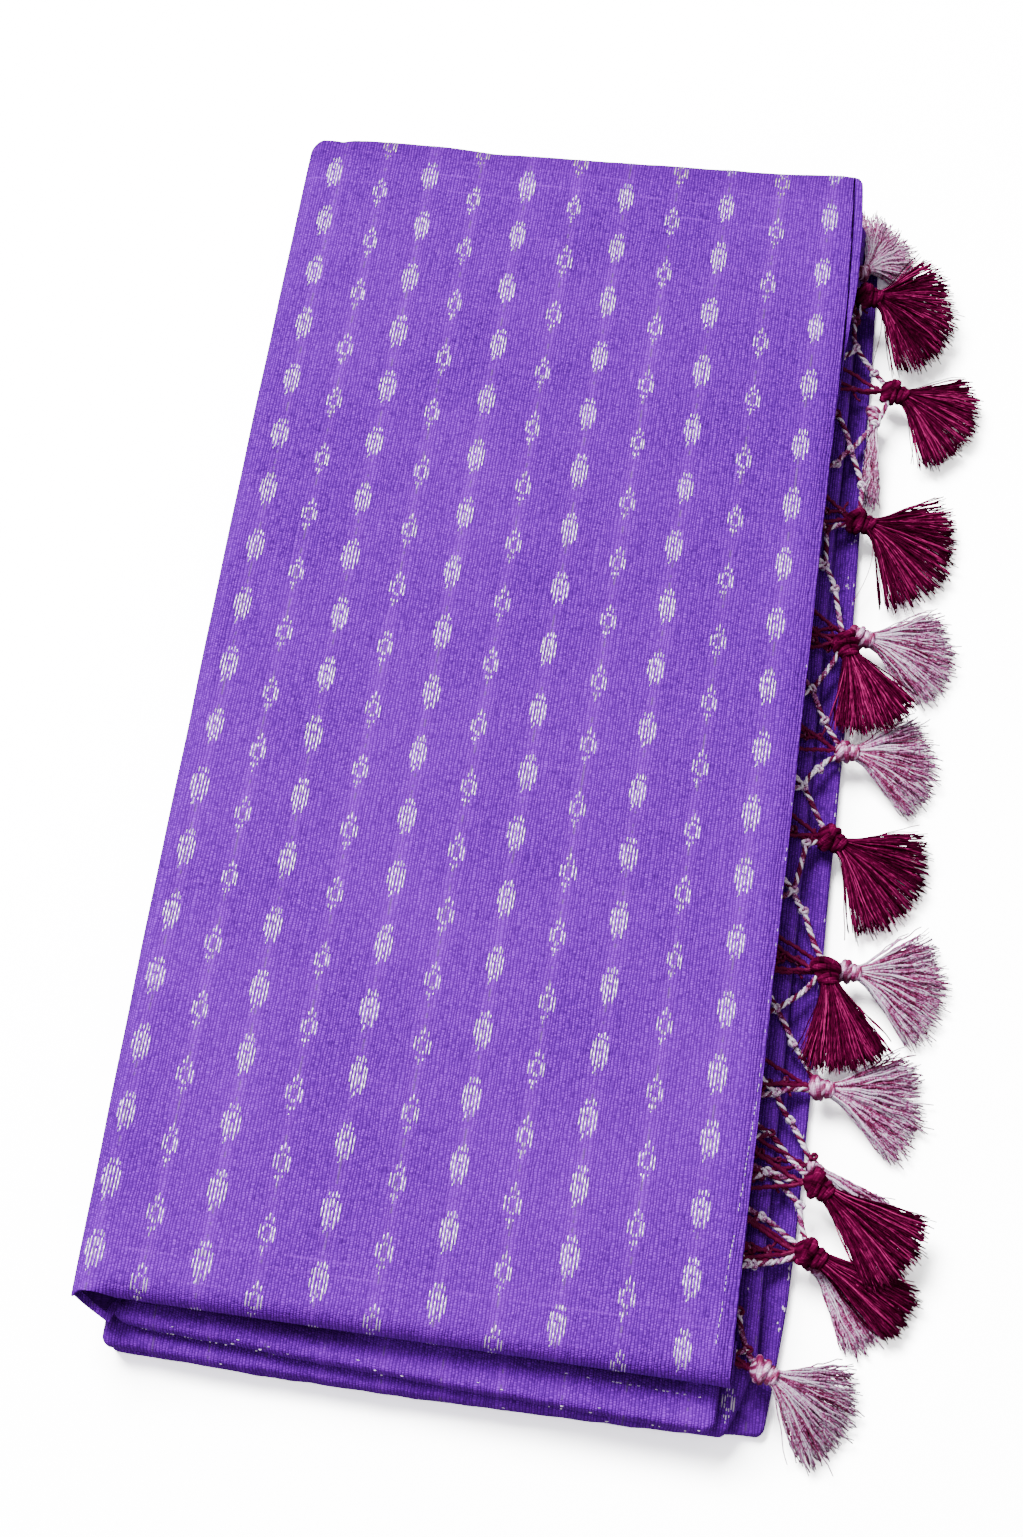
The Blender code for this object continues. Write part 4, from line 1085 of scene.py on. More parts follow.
class SAREE_OT_folds(bpy.types.Operator):
    """Makes the three folds below the top stretch, the stretch in its slit, and the hidden layers"""

    bl_idname = "saree.folds"
    bl_label = "Lower folds"
    bl_options = {"REGISTER", "UNDO"}

    def execute(self, context):
        for name, node, corners, levels, slit, puckers, steps, rests, flat, area in FOLDS:
            points, uv, lean = fold_form(corners, levels, puckers, steps)
            # Painted shade: darker in the slit under the stretch above and on the lower half of each nose.
            shade = painted_slit_shade(points, lean, *slit)
            points[..., 2] = np.maximum(points[..., 2], 0.0)
            closing = []
            if rests == "floor":
                inner = between((points[-1].mean(axis=0), points[-1]), column_of(BASE_CLOSING)[..., None])
                points, uv = np.concatenate([points, inner]), np.concatenate([uv, inner[..., :2]])
                shade = np.concatenate([shade, np.ones(inner.shape[:2])])
                closing = [np.arange(shade.size)[:-points.shape[1] - 1:-1].tolist()]
            piece = new_piece(name, points, grid_faces(*shade.shape, closed=True).tolist() + closing, uv,
                              column=column_number(uv[..., 0]), shade=shade)
            dress_cloth(piece, node)
        self.under_cloth()
        self.layer_stack()
        return {"FINISHED"}

    def under_cloth(self):
        """The layer under the open edge: level with slow waves, its edge down, and up to the top near the back."""
        edge = np.array(UNDER_EDGE).T
        y = column_of(np.linspace(edge[0, 0], edge[0, -1], 160))
        part = 1 - (1 - np.linspace(0, 1, 20)) ** 2.2
        x = between((UNDER_INNER, np.interp(y, *edge)), part)
        z = UNDER_TOP + 0.22 * np.sin(y / 13.0) * part + 0.12 * np.sin(y / 5.1 + 1.0) * part ** 2
        up = smooth_step((x - right_side(y) + 0.5) / 1.2) * smooth_step((y - UNDER_UP[0]) / UNDER_UP[1])
        z = z + UNDER_RISE * up - 0.30 * part ** 40 - 0.12 * np.maximum(y - UNDER_END, 0.0) ** 2
        points = stacked(x, y, np.maximum(z, TOP_LEVELS[0] + 0.6))
        piece = new_piece("under_cloth", points, grid_faces(*x.shape)[:, ::-1], points[..., :2],
                          column=column_number(x))
        dress_cloth(piece, "under_stretch", UNDER_THICK)

    def layer_stack(self):
        """Slabs of cloth layers: loops of a rounded rectangle whose edge steps in between layers."""
        bundle = Bundle()
        for low, high, left, right, front, back, layers in SLABS:
            places = (left, front), (right, front), (right, back), (left, back)
            loop, normal = rounded_outline([(*place, *SLAB_CORNER) for place in places], SLAB_STEP)
            height = np.linspace(low, high, LAYER_ROWS * layers + 1)
            part = (height - low) / (high - low) * layers
            wave = 0.5 * np.sin(column_of(np.floor(part + 1e-6) * 2.1) + loop[:, 1] / 37.0)
            depth = column_of(LAYER_GAP * np.abs(np.cos(math.pi * part)) ** 3) + np.abs(wave) * 0.8
            depth = np.pad(depth, ((1, 1), (0, 0)), constant_values=SLAB_DEPTH)
            height = column_of(np.pad(height, 1, mode="edge"))
            ring = loop - normal * depth[..., None]
            rows, columns = depth.shape
            first = np.arange(columns)
            # 0.3 is the slab's painted shade.
            bundle.add(stacked(ring[..., 0], ring[..., 1], height), grid_faces(rows, columns, closed=True)[:, ::-1],
                       loop + normal * height[..., None], 0.3, [first[::-1], first + (rows - 1) * columns])
        for number, radius in enumerate(INNER_RADII):
            self.roll_layer(bundle, radius, number)
        # Painted shade: the hidden layers get the cloth at half brightness, darker still by their shade field.
        dress(bundle.piece("layer_stack", "shade"), cloth_material("inner layer cloth in painted shade", 0.5, stripes=False),
              "hidden_cloth", "hidden_layers")

    def roll_layer(self, bundle, radius, number):
        """One layer inside the left roll: a closed C whose front end follows the roll's lip."""
        turn = np.concatenate([np.zeros(3), np.linspace(0, math.pi, 12), np.full(4, math.pi)])
        under = np.concatenate([[15.0, 10.0, 5.0], np.zeros(12), [2.0, 4.0, 8.0, 14.0]])
        size = radius - np.array([[0.0], [INNER_THICK]])
        x, z = under - size * np.sin(turn), sum(TOP_LEVELS) / 2 + size * np.cos(turn)
        front_back, back_back = (base + more * number for base, more in zip(INNER_BACK, INNER_MORE))
        front = TOP_FRONT[0] - lip(way_under(turn, under), number) * (turn > math.pi / 2) + front_back
        x, z, front = (np.concatenate([value[0], value[1, ::-1]]) for value in (x, z, front + 0 * x))
        y = between((front, TOP_BACK[0] - back_back), column_of(np.linspace(0, 1, 60)))
        rows, columns = y.shape
        first = np.arange(columns // 2 - 1)
        cap = np.stack([first, first + 1, columns - 2 - first, columns - 1 - first], axis=-1)
        caps = np.concatenate([cap, cap[:, ::-1] + (rows - 1) * columns])
        # 0.85 is the layer's painted shade.
        bundle.add(stacked(x + left_side(y) + TOP_ROLL, y, z), grid_faces(rows, columns, closed=True),
                   stacked(np.arange(columns) * 0.7, y), 0.85, caps)


# Buttas and metal threads.


def thread_bars(place, bars, rise, rng, stations=8):
    """Raised thread bars on the cloth, from a form place(x, v, lift): their points, faces and UV.

    A bar is a row of three points across, its middle one lifted; the lift dips once
    every dash, as where a cross thread holds it down.
    """
    x, low, high, half = np.array(bars).T[..., None, None]
    part = column_of(np.linspace(0, 1, stations))
    v = between((low, high), part)
    dash = np.abs(np.sin(math.pi * (v / DASH_PITCH + 0.5 * rng.random(x.shape)))) ** 0.6
    taper = np.clip(np.sin(math.pi * np.clip(part, 0.02, 0.98)) * 4, 0.0, 1.0)
    row = np.array([-1.0, 0.0, 1.0])
    across = x + row * half * (0.88 + 0.22 * dash) * (0.45 + 0.55 * taper)
    lift = np.where(row == 0, rise * (0.6 + 0.4 * dash) * taper, BAR_SINK)
    faces = grid_faces(stations, 3) + np.arange(len(x))[:, None, None] * stations * 3
    return place(across, v + 0 * across, lift), faces.reshape(-1, 4), stacked(across * 2.0, v)


def on_top(x, v, lift):
    """A place on the top stretch from its grain x, its v and a lift."""
    return top_form(across_at(x, v), v, lift)


class SAREE_OT_buttas(bpy.types.Operator):
    """Weaves the rows of small buttas into the cloth, full ones and hollow ones in turn"""

    bl_idname = "saree.buttas"
    bl_label = "Buttas"
    bl_options = {"REGISTER", "UNDO"}

    def bars_of(self, columns, motif, rng):
        """All bars of one kind: the motif's, moved to each row of each column, a little uneven."""
        bars = []
        for x, middle in columns:
            beyond = x - BRIGHT_COLUMNS[0][0]
            pitch, growth = (first + more * beyond for first, more in (ROW_PITCH, ROW_GROWTH))
            for k in ROWS:
                v = middle + pitch * k + growth * k * k
                v = v - ROW_PRESS[1] * max(v - ROW_PRESS[0], 0.0) ** 2
                curl, start, end, tail = top_limits(across_at(x, v))[3:]
                reach = roll_reach(curl, tail) - END_ROOM
                if not start - reach < v < end + reach:
                    continue
                across, low, high, half = np.array(motif).T
                bend = LEFT_BEND[0] * np.clip((v - LEFT_BEND[1]) / LEFT_BEND[2], 0.0, 1.0) ** 2 * (x < LEFT_BEND[3])
                across = across * rng.uniform(0.94, 1.08) + x - bend + rng.normal(0, 0.2)
                stretch, slant, shift = rng.uniform(0.94, 1.06), rng.normal(0, 0.02), rng.normal(0, 0.25)
                low = low * stretch + shift + rng.normal(0, 0.18, len(motif))
                high = high * stretch + shift + rng.normal(0, 0.18, len(motif))
                across = across + slant * (low + high) / 2 + rng.normal(0, 0.04, len(motif))
                high = np.maximum(high, low + 0.3)
                bars.append(stacked(across, low + v, high + v, half * rng.uniform(0.85, 1.1, len(motif))))
        return np.concatenate(bars)

    def execute(self, context):
        values = context.scene.saree_butta
        rng = np.random.default_rng(SEED)
        # The third colour is mostly painted shade for the back roll, and a little of it a random tone.
        for name, columns, motif, colour, other in (
            ("bright_buttas", (*BRIGHT_COLUMNS, UNDER_COLUMNS[0]), BRIGHT_BARS, values.silver, (0.62, 0.55, 0.80)),
            ("hollow_buttas", (*HOLLOW_COLUMNS, UNDER_COLUMNS[1]), HOLLOW_BARS, values.dull, (0.50, 0.44, 0.30)),
        ):
            bars = self.bars_of(columns, motif, rng)
            points, faces, uv = thread_bars(on_top, bars, values.rise / MM, rng)
            # Tones differ a little at random; on the back roll the threads take the third colour fully, painted shade.
            tone = np.minimum(rng.random(len(bars)) * 0.6 + 0.7 * (bars[:, 1] > BUTTA_SHADE_FROM), 1.0)
            piece = new_piece(name, points, faces, uv, tone=np.repeat(tone, points[0, ..., 0].size))
            dress(piece, thread_material(name.replace("_", " ") + " thread", (colour, colour, other),
                                         roughness=0.40, around=1.4, twist=0.4, gloss=0.7, metal=0.45), "purple_cloth")
        return {"FINISHED"}


class SAREE_OT_metal_threads(bpy.types.Operator):
    """Lays the border's broken silver lines, the stray bits of silver and the buttas of the lower strips"""

    bl_idname = "saree.metal_threads"
    bl_label = "Silver lines and bits"
    bl_options = {"REGISTER", "UNDO"}

    def dashes(self, rng, first, last, pitch, share, half, line, swing=0.0):
        """Dashes one after another: their x, ends and half widths, each a little off the line."""
        low = np.arange(first, last, pitch)
        low = low + rng.normal(0, 0.12, len(low))
        low = low[rng.random(len(low)) < share]
        high = low + pitch * rng.uniform(0.55, 0.85, len(low))
        x = np.interp(low, *line) if isinstance(line, tuple) else line + swing * np.sin(low * 1.7)
        x = x + rng.normal(0, 0.06, len(low))
        return stacked(x, low, high, half * rng.uniform(0.7, 1.2, len(low)))

    def strip(self, corners, levels):
        """A place on the right side of a fold: level, then round its edge, from x, y and the lift."""
        radius = (levels[1] - levels[0]) / 2
        near, far = corners[2:4]

        def place(x, v, lift):
            part = np.clip((v - near[1]) / (far[1] - near[1]), 0.0, 1.0)
            edge = between((near[0], far[0]), part) + near[3] * bow(part)
            gone = np.clip(x - edge + radius, 0.0, radius * 0.97)
            rise = (1 - (gone / radius) ** (2 / FOLD_SQUARE)) ** (FOLD_SQUARE / 2)
            return stacked(np.minimum(x, edge), v, levels[1] - radius + radius * rise + lift)

        return place

    def nose(self, corners, levels):
        """A place on the front of a fold: from its way round the edge, x and the lift."""
        radius = (levels[1] - levels[0]) / 2
        left, right = corners[:2]

        def place(way, x, lift):
            part = (x - left[0]) / (right[0] - left[0])
            front = between((left[1], right[1]), part) - left[3] * bow(part)
            turn = way / radius
            sine, cosine = nose_profile(np.maximum(turn, 0.0))
            y = front + radius - radius * sine - lift * np.sin(turn) - radius * np.minimum(turn, 0.0)
            return stacked(x, y, sum(levels) / 2 + radius * cosine + lift * np.cos(turn))

        return place

    def execute(self, context):
        values = context.scene.saree_butta
        rng = np.random.default_rng(SEED + 7)
        places = {
            "top": lambda x, v, lift: on_top(x - GRAIN_SLOPE * v, v, lift),
            "lower strip": self.strip(LOWER_CORNERS, LOWER_LEVELS),
            "base strip": self.strip(BASE_CORNERS, BASE_LEVELS),
            "middle nose": self.nose(MIDDLE_CORNERS, MIDDLE_LEVELS),
            "lower nose": self.nose(LOWER_CORNERS, LOWER_LEVELS),
        }
        bars = {name: [] for name in places}
        scale, place = STRIP_BUTTA
        bars["lower strip"] = [np.array(HOLLOW_BARS) * scale + place, [(x, y, y + 0.8, 0.2) for x, y in STRIP_A_SPECKS]]
        for x, y in STRIP_B_BITS:
            low = y + rng.normal(0, 1.3, 4)
            x = x - 0.8 + rng.normal(0, 0.5, 4)
            bars["base strip"].append(stacked(x, low, low + rng.uniform(0.5, 1.4, 4), 0.17))
        for name, *facts in DASHES:
            bars[name].append(self.dashes(rng, *facts))
        bundle = Bundle()
        for name, place in places.items():
            bundle.add(*thread_bars(place, np.concatenate(bars[name]), values.rise / MM, rng, stations=5), 0.0)
        bundle.tone = [np.repeat(rng.random(bundle.count // 15) * 0.8, 15)]
        dress(bundle.piece("border_threads"),
              thread_material("border silver thread", (values.silver, values.silver, values.dull), roughness=0.35,
                              around=1.4, twist=0.4, gloss=0.5), "purple_cloth")
        return {"FINISHED"}


# The knotted net.


def fallen(x):
    """Height of the net over the folds at an x."""
    return np.interp(x, NET_FALL_X, NET_FALL_Z)


def net_places():
    """Points of the net: its crossings, its stops on the header and its ends at the tassels."""
    places = {name: np.array([x, y, fallen(x)]) for name, (x, y, *_) in NET.items()}
    cords = [(name, end) for name, (*_, ends) in NET.items() for end in ends]
    for name, (_, _, stops, _) in NET.items():
        for y in stops:
            places[y] = np.array([HEADER_X, y, HEADER_LEVEL])
            cords.append((y, name))
    for x, y, z, radius, *_, holders in TASSELS:
        for holder in holders:
            end = (x, holder)
            reach = places[holder][:2] - (x, y)
            reach *= (radius - 0.6) / np.linalg.norm(reach)
            places[end] = np.array([x + reach[0], y + reach[1], z])
            cords.append((holder, end))
    return places, cords


def cord_path(first, last, stations, sag, level):
    """A cord's line: straight in plan with a bow to one side, and its height kept off the folds below."""
    part = np.linspace(0, 1, stations)
    path = between((first, last), column_of(part))
    ahead = (last - first)[:2] / (np.linalg.norm((last - first)[:2]) + TINY)
    path[:, :2] += column_of(sag * bow(part)) * (-ahead[1], ahead[0])
    rest = fallen(path[:, 0]) + level
    near = np.sin(math.pi * part) ** 0.5
    path[:, 2] = between((path[:, 2], np.maximum(rest, between((rest, path[:, 2]), 0.25))), near)
    return path


class Net(Bundle):
    """The net's threads, with the draws that make them uneven."""

    def __init__(self, rng):
        super().__init__()
        self.rng = rng

    def knot(self, spot, half, tone):
        """A knot: a thick thread that goes round twice on a small tilted ring."""
        turn = np.linspace(0, 4 * math.pi, 40)
        lean = self.rng.uniform(0, math.pi)
        ring = half * 1.35 * stacked(np.cos(turn), np.sin(turn) * 0.62, np.sin(turn * 1.5) * 0.75) + (0.0, 0.0, 0.3)
        flat = np.array([[math.cos(lean), math.sin(lean), 0], [-math.sin(lean), math.cos(lean), 0], [0, 0, 1]])
        self.add_thread(spot + ring @ flat, half * 0.6, 6, tone + 0.3 * np.sin(turn * 1.3 + lean))

    def header(self):
        """The band that the net hangs from: four long threads side by side, a little wavy."""
        y = np.linspace(*HEADER_ENDS, 200)
        for number in range(HEADER_THREADS):
            x = HEADER_X - HEADER_LEFT + number * HEADER_PITCH + 0.15 * np.sin(y / 3.1 + number)
            z = HEADER_LEVEL + 0.12 * np.sin(y / 2.3 + number * 2.0)
            tone = np.clip(0.6 + 0.5 * np.sin(y / 5.0 + number * 1.7), 0, 1)
            self.add_thread(stacked(x, y, z), HEADER_HALF, 5, tone)

    def under_net(self):
        """Finer maroon threads: zigzag from the header to small knots and on to the tassel heads."""
        self.knot(np.array(LOOP), 0.8, 1.2)
        rng = self.rng
        for number, (x, y, z, radius, *_) in enumerate(TASSELS, start=1):
            if number == LOOSE_TASSEL:
                continue
            joint_x, joint_y = JOINT_X + rng.uniform(-0.8, 0.8), max(y + rng.uniform(-3.0, 3.0), NET_END)
            joint = np.array([joint_x, joint_y, fallen(joint_x) - 0.3])
            elbow = np.array([ELBOW_X, (joint_y + y) / 2 + rng.uniform(-2.0, 2.0), fallen(ELBOW_X) - 0.4])
            self.thin(joint, elbow, 0.62)
            self.thin(elbow, (x - radius * 0.7, y, z), 0.58)
            for offset in (rng.uniform(5.0, 9.0), -rng.uniform(3.0, 7.0)):
                start = HEADER_X + 2.0, max(y + offset, NET_END), HEADER_LEVEL - 1.2
                self.thin(start, (x - radius * 0.8, y, z + 0.4), 0.66, 0.1)
            for offset in FINE_STARTS:
                start = HEADER_X, max(joint_y + offset + rng.uniform(-1.5, 1.5), NET_END), HEADER_LEVEL
                self.thin(start, joint, 0.54)
            twig = rng.uniform(1.0, 2.5), rng.choice([-1.0, 1.0]) * rng.uniform(3.5, 6.0), -0.3
            self.thin(elbow, elbow + twig, 0.42)
            self.knot(joint, 0.75, 0.9)
            self.knot(elbow, 0.62, 0.9)

    def thin(self, first, last, half, level=-0.4):
        """One knobbly maroon thread."""
        rng = self.rng
        first, last = np.array(first), np.array(last)
        length = np.linalg.norm(last - first)
        stations = max(int(length / 0.8), 6)
        path = cord_path(first, last, stations, rng.normal(0, 0.5), level)
        path[1:-1] += rng.normal(0, 0.09, (stations - 2, 3))
        radius = half * (1 + 0.22 * np.sin(np.linspace(0, 1, stations) * length * 2.4 + rng.uniform(0, 6)))
        tone = 1.30 + 0.14 * np.sin(np.linspace(0, 5, stations) + rng.uniform(0, 6))
        self.add_thread(path, radius, 5, tone)


class SAREE_OT_net(bpy.types.Operator):
    """Knots the fringe's net: silver and maroon cords twisted in pairs, and a finer maroon net below"""

    bl_idname = "saree.net"
    bl_label = "Knotted net"
    bl_options = {"REGISTER", "UNDO"}

    def execute(self, context):
        rng = np.random.default_rng(SEED + 1)
        half = context.scene.saree_fringe.cord / MM / 2
        places, cords = net_places()
        net = Net(rng)
        for first, last in cords:
            length = np.linalg.norm(places[last] - places[first])
            stations = max(int(length / 0.45), 8)
            path = cord_path(places[first], places[last], stations, rng.normal(0, 0.5), 0.1)
            way = np.linspace(0, 1, stations) * length
            phase = way / PLY_PITCH * 2 * math.pi + rng.uniform(0, 6)
            _, aside, above = path_axes(path)
            maroon = first in MAROON_SPOTS or last in MAROON_SPOTS or rng.random() < MAROON_SHARE
            for ply in range(3):
                turn = column_of(phase + ply * 2 * math.pi / 3)
                line = path + half * PLY_SIZE[0] * (np.cos(turn) * aside + np.sin(turn) * above)
                tone = PLY_TONES[maroon][ply] + 0.45 * np.sin(way / 3.4 + rng.uniform(0, 6))
                net.add_thread(line, half * PLY_SIZE[1], 5, tone)
        for name in NET:
            net.knot(places[name], half, 0.85 if name in MAROON_SPOTS else 0.25)
        net.header()
        net.under_net()
        colours = (0.95, 0.82, 1.0), (0.42, 0.10, 0.34), (0.13, 0.001, 0.040)
        dress(net.piece("knotted_net"),
              thread_material("net thread", colours, 0.3, 0.8, around=2.0, twist=0.9, gloss=0.12, mottle=1.6,
                              grain=0.4, metal=0.22), "net_cord", "fringe_net")
        return {"FINISHED"}


# The tassels.


def tassel_axes(heading):
    """Unit directions ahead of and beside a tassel, from its heading in degrees."""
    angle = math.radians(heading)
    return np.array([math.cos(angle), math.sin(angle), 0.0]), np.array([-math.sin(angle), math.cos(angle), 0.0])


class SAREE_OT_tassels(bpy.types.Operator):
    """Makes the tassels: a wrapped knot, a bound neck and a skirt of fine strands"""

    bl_idname = "saree.tassels"
    bl_label = "Tassels"
    bl_options = {"REGISTER", "UNDO"}

    def execute(self, context):
        values = context.scene.saree_fringe
        materials = {
            MAROON_KIND: thread_material(
                "maroon tassel thread", (values.maroon, (0.105, 0.0010, 0.032), (0.56, 0.026, 0.20)),
                twist=0.35, gloss=0.004, mottle=1.0, grain=0.40),
            MIXED_KIND: thread_material(
                "silver and maroon tassel thread", (values.silver, (0.68, 0.20, 0.52), (0.19, 0.003, 0.066)),
                0.1, 0.9, roughness=0.40, twist=0.5, gloss=0.5, mottle=2.8, grain=0.6, metal=0.12),
        }
        for number, facts in enumerate(TASSELS, start=1):
            rng = np.random.default_rng(SEED + 100 + number)
            kind = MIXED_KIND if number in MIXED else MAROON_KIND
            bundle = Bundle()
            self.head(bundle, facts, kind, rng)
            self.skirt(bundle, facts, kind, values.strands, rng, number)
            dress(bundle.piece(f"tassel_thread_{number:02d}"), materials[kind], kind.slot, f"tassel_{number:02d}")
        return {"FINISHED"}

    def head(self, bundle, facts, kind, rng):
        """The knot: an egg with slanting thread ridges, a slanting wrap and rings round the neck."""
        x, y, z, radius, heading, *_ = facts
        ahead, beside = tassel_axes(heading)
        centre, up = np.array([x, y, z]), np.array([0.0, 0.0, 1.0])
        pole = column_of(np.linspace(0.03, math.pi - 0.25, 26))
        turn = np.linspace(0, 2 * math.pi, 40, endpoint=False)
        ridges = 1 + 0.045 * np.abs(np.sin(turn * 9 + pole * 3.4))
        size = radius * 0.86 * (ridges + 0.05 * np.sin(turn * 2 + pole * 2 + rng.uniform(0, 6)))
        forward, out = -np.cos(pole) * size * 1.02, np.sin(pole) * size
        points = (centre + forward[..., None] * ahead + (out * np.cos(turn))[..., None] * beside
                  + (out * np.sin(turn))[..., None] * up)
        tone = np.clip(kind.head[0] + kind.head[1] * np.sin(turn * 5 + pole * 6), 0, 1)
        bundle.add(points, grid_faces(*size.shape, closed=True)[:, ::-1],
                   stacked(turn * radius * 0.7 + pole * 3.0, pole * radius), tone, [np.arange(turn.size)])
        around = np.linspace(0, 2 * math.pi, 44)
        for shift, tilt, size, thick in TASSEL_RINGS:
            ring = radius * size * (column_of(np.cos(around)) * beside + column_of(np.sin(around)) * up)
            slant = radius * (shift + tilt * np.sin(around + rng.uniform(0, 6)) * 0.5)
            tone = np.clip(kind.ring[0] + kind.ring[1] * np.sin(around * 3 + shift * 9), 0, 1)
            bundle.add_thread(centre + ring + ahead * column_of(slant), radius * thick, 7, tone)

    def skirt(self, bundle, facts, kind, strands, rng, number):
        """Strands from the neck: each goes out on its own heading, bends down and ends a little ragged.

        A strand is its root plus its reach times its direction, plus a slow wave to the
        side, and its height falls from the neck's to the tip's along a square.
        """
        x, y, z, radius, heading, spread, length, tip_z, _ = facts
        narrow = number in NARROW
        count, tufts = int(strands * kind.share * (NARROW_SHARE if narrow else 1.0)), TUFTS[narrow]

        def normal(size):
            """A normal draw for each strand."""
            return rng.normal(0, size, (count, 1))

        def uniform(low, high):
            """An even draw for each strand."""
            return rng.uniform(low, high, (count, 1))

        part = np.linspace(0, 1, kind.stations)
        arch = np.sin(part * math.pi)
        tuft = rng.integers(0, tufts, count)
        centre = np.linspace(-1, 1, tufts) + rng.normal(0, 0.02, tufts)
        own = normal(0.075) * (1.3 - 0.3 * part)
        stray = (rng.random((count, 1)) < STRAY_SHARE) * normal(0.2) * part
        lane = column_of(centre[tuft]) + own + stray
        last = lane[:, -1:]
        ragged = column_of(rng.normal(0, 0.018, tufts)[tuft]) + normal(kind.ragged)
        reach = length * (1.0 - SIDE_SHORT * last ** 2 + LOPSIDED.get(number, 0.0) * last + ragged)
        ring = uniform(0, 2 * math.pi)
        ahead, beside = tassel_axes(heading)
        root_side = radius * NECK[0] * (0.75 * lane[:, :1] + 0.25 * np.cos(ring))
        root_up = radius * NECK[1] * np.sin(ring) * np.sqrt(uniform(0.1, 1.0))
        out = between((radius * 0.8, reach), part ** 1.1)
        swing = lane * math.radians(spread) / 2 * (1 - np.exp(-SWING * part)) / (1 - math.exp(-SWING))
        wave = (column_of(rng.normal(0, 0.4, tufts)[tuft]) + normal(0.25)) * np.sin(part * 3.0)
        waver = LOOSE_WAVER if number == LOOSE_TASSEL else kind.waver
        wave = wave + waver * np.sin(part * uniform(*kind.waves) + ring)
        wave = wave + normal(0.55) * part ** 5
        side_way = root_side * (1 - part) + out * np.sin(swing) + wave * part
        forward = out * np.cos(swing)
        level = column_of(rng.uniform(-1.0, 1.0, tufts)[tuft]) * arch * 0.6
        thick = root_up * (1 - 0.45 * part) + level + 0.5 * arch * np.sin(ring)
        height = between((z, tip_z), 0.35 * part + 0.65 * part ** 2) + thick + 0.35 * normal(1) * part
        height = np.maximum(height, LEAST_HEIGHT + 0.3 * rng.random((count, 1)) * part)
        paths = np.array([x, y, 0.0]) + forward[..., None] * ahead + side_way[..., None] * beside
        paths[..., 2] = height
        radii = kind.half * uniform(0.75, 1.2) * (1 - kind.taper * part ** 3)
        shade = rng.random((count, 1)) ** 1.4
        if kind is MIXED_KIND:
            draw = rng.random((count, 1))
            pale, lilac = MIXED_SHARES.get(number, MIXED_SHARES[0])
            shade = np.where(draw < pale, 0.06, np.where(draw < lilac, 0.44, 0.92))
            shade = shade + 0.12 * np.sin(part * 9 + ring) + 0.6 * (0.55 - shade) * part ** 3
        else:
            shade = 0.70 * shade + 0.16 * column_of(rng.random(tufts)[tuft]) + 0.10 * part
        bundle.add_tubes(paths, radii, 3, np.clip(shade, 0, 1))


# The stage.


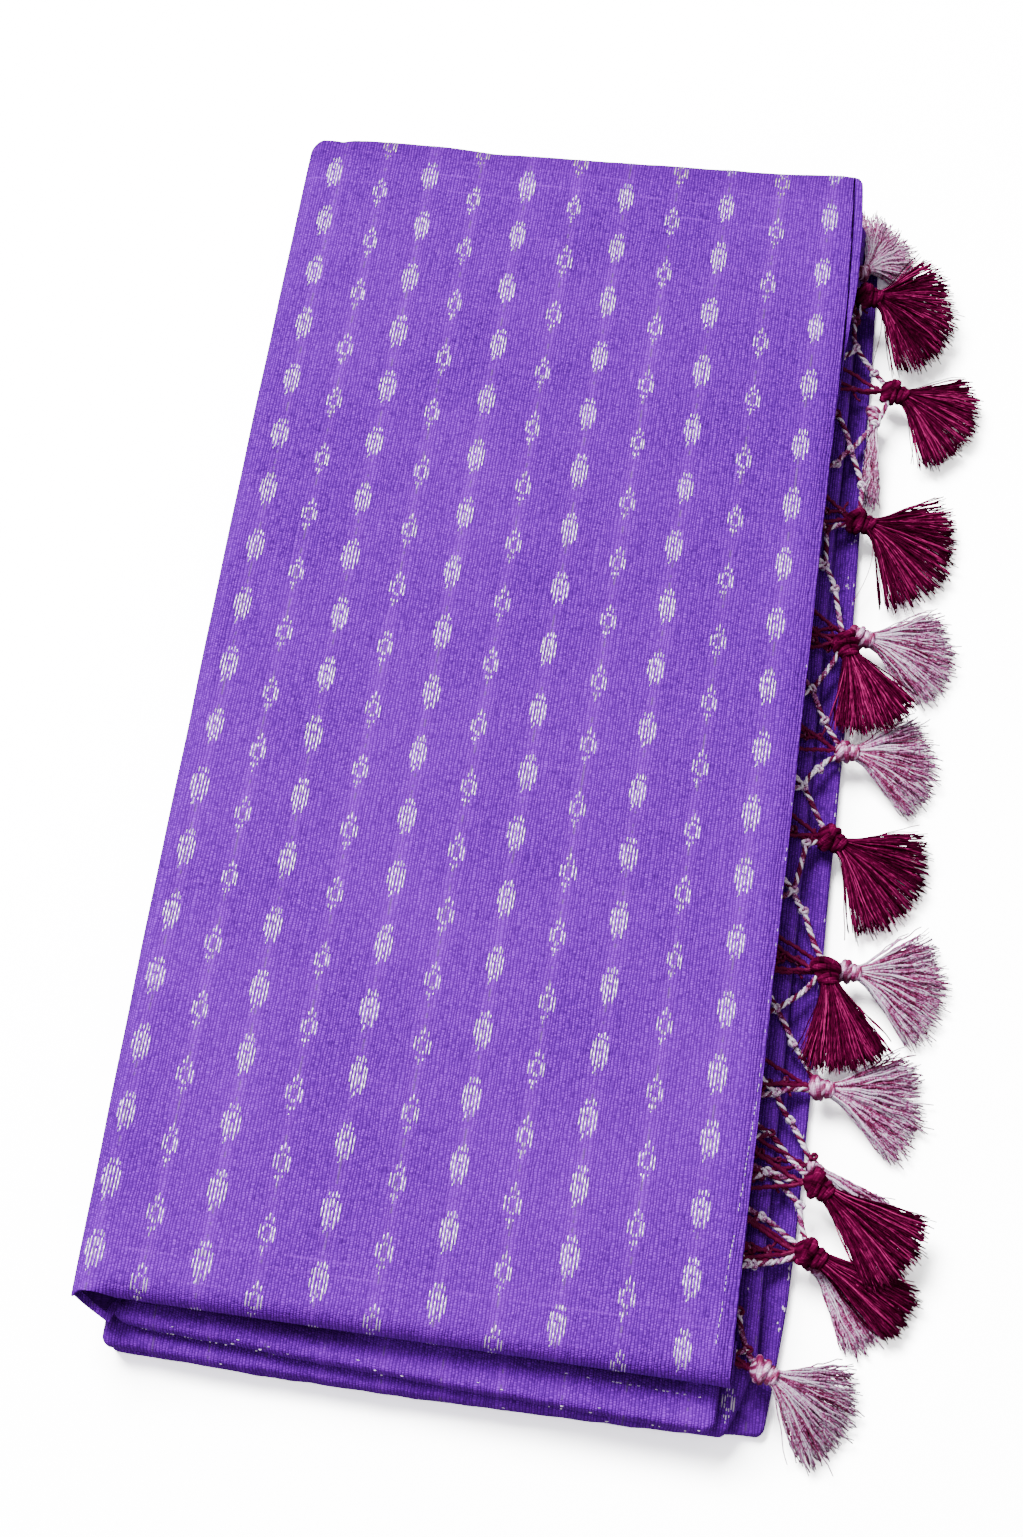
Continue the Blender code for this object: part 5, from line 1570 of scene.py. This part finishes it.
class SAREE_OT_stage(bpy.types.Operator):
    """Sets the pale floor, the soft light and the camera"""

    bl_idname = "saree.stage"
    bl_label = "Stage"
    bl_options = {"REGISTER", "UNDO"}

    def execute(self, context):
        values = context.scene.saree_stage
        floor = new_piece("floor", np.array([(-1, -1, 0), (1, -1, 0), (1, 1, 0), (-1, 1, 0)]) * FLOOR_HALF
                          + (0, 0, FLOOR_LEVEL), [[0, 1, 2, 3]])
        material, t, shader = start_material("pale floor")
        speck = t.spread(t.noise(t.node("TexCoord").outputs["Object"], 3.0), 0.3, 0.7, 0.0, 0.04)
        bounced = t.mix(speck, rgba(values.floor, values.bounce), rgba(values.floor, values.bounce * 0.97))
        t.fill(shader, {"Base Color": bounced, "Roughness": 0.9, "Specular IOR Level": 0.0})
        white = (*[channel * values.white for channel in values.floor], 1.0)
        seen = t.fill(t.node("BsdfDiffuse"), {"Color": white})
        chosen = t.fill(t.node("MixShader"), {0: t.node("LightPath").outputs["Is Camera Ray"],
                                              1: shader.outputs[0], 2: seen.outputs[0]})
        t.fill(t.tree.nodes["Material Output"], {"Surface": chosen.outputs[0]})
        floor.data.materials.append(material)

        world = bpy.data.worlds.new("soft sky")
        context.scene.world = world
        world.use_nodes = True
        sky = world.node_tree.nodes["Background"].inputs
        sky["Color"].default_value, sky["Strength"].default_value = (1.0, 1.0, 1.0, 1.0), values.sky
        for name, share, width, place in LAMPS:
            light = bpy.data.lights.new(name, "AREA")
            light.energy, light.shape, light.size = values.key * share, "SQUARE", width
            x, y, z = place
            lamp = add_object(name, light)
            lamp.location = place
            lamp.rotation_euler = (math.atan2(math.hypot(x, y), z), 0.0, math.atan2(x, -y))
        lens = bpy.data.cameras.new("camera")
        lens.lens, lens.sensor_width, lens.clip_start, lens.clip_end = FOCAL, SENSOR, 0.01, 20.0
        camera = add_object("camera", lens)
        camera.location = EYE
        camera.rotation_euler = (math.radians(90 - AIM[1]), 0.0, math.radians(AIM[0]))
        context.scene.camera = camera
        return {"FINISHED"}


OPERATORS = (
    SAREE_OT_top_cloth, SAREE_OT_folds, SAREE_OT_buttas, SAREE_OT_metal_threads, SAREE_OT_net, SAREE_OT_tassels,
    SAREE_OT_stage,
)


class SAREE_PT_panel(bpy.types.Panel):
    """Lists the steps and the sizes and colours of the saree"""

    bl_idname = "SAREE_PT_panel"
    bl_label = "Folded saree"
    bl_space_type = "VIEW_3D"
    bl_region_type = "UI"
    bl_category = "Saree"

    def draw(self, context):
        for kind in OPERATORS:
            self.layout.operator(kind.bl_idname)
        for name, group in GROUPS.items():
            box = self.layout.box()
            for key in group.__annotations__:
                box.prop(getattr(context.scene, name), key)


def register():
    for kind in (*GROUPS.values(), *OPERATORS, SAREE_PT_panel):
        bpy.utils.register_class(kind)
    for name, group in GROUPS.items():
        setattr(bpy.types.Scene, name, bpy.props.PointerProperty(type=group))


def unregister():
    for name in GROUPS:
        delattr(bpy.types.Scene, name)
    for kind in (SAREE_PT_panel, *OPERATORS, *GROUPS.values()):
        bpy.utils.unregister_class(kind)


def main():
    register()
    for kind in OPERATORS:
        area, step = kind.bl_idname.split(".")
        getattr(getattr(bpy.ops, area), step)()


if __name__ == "__main__":
    main()
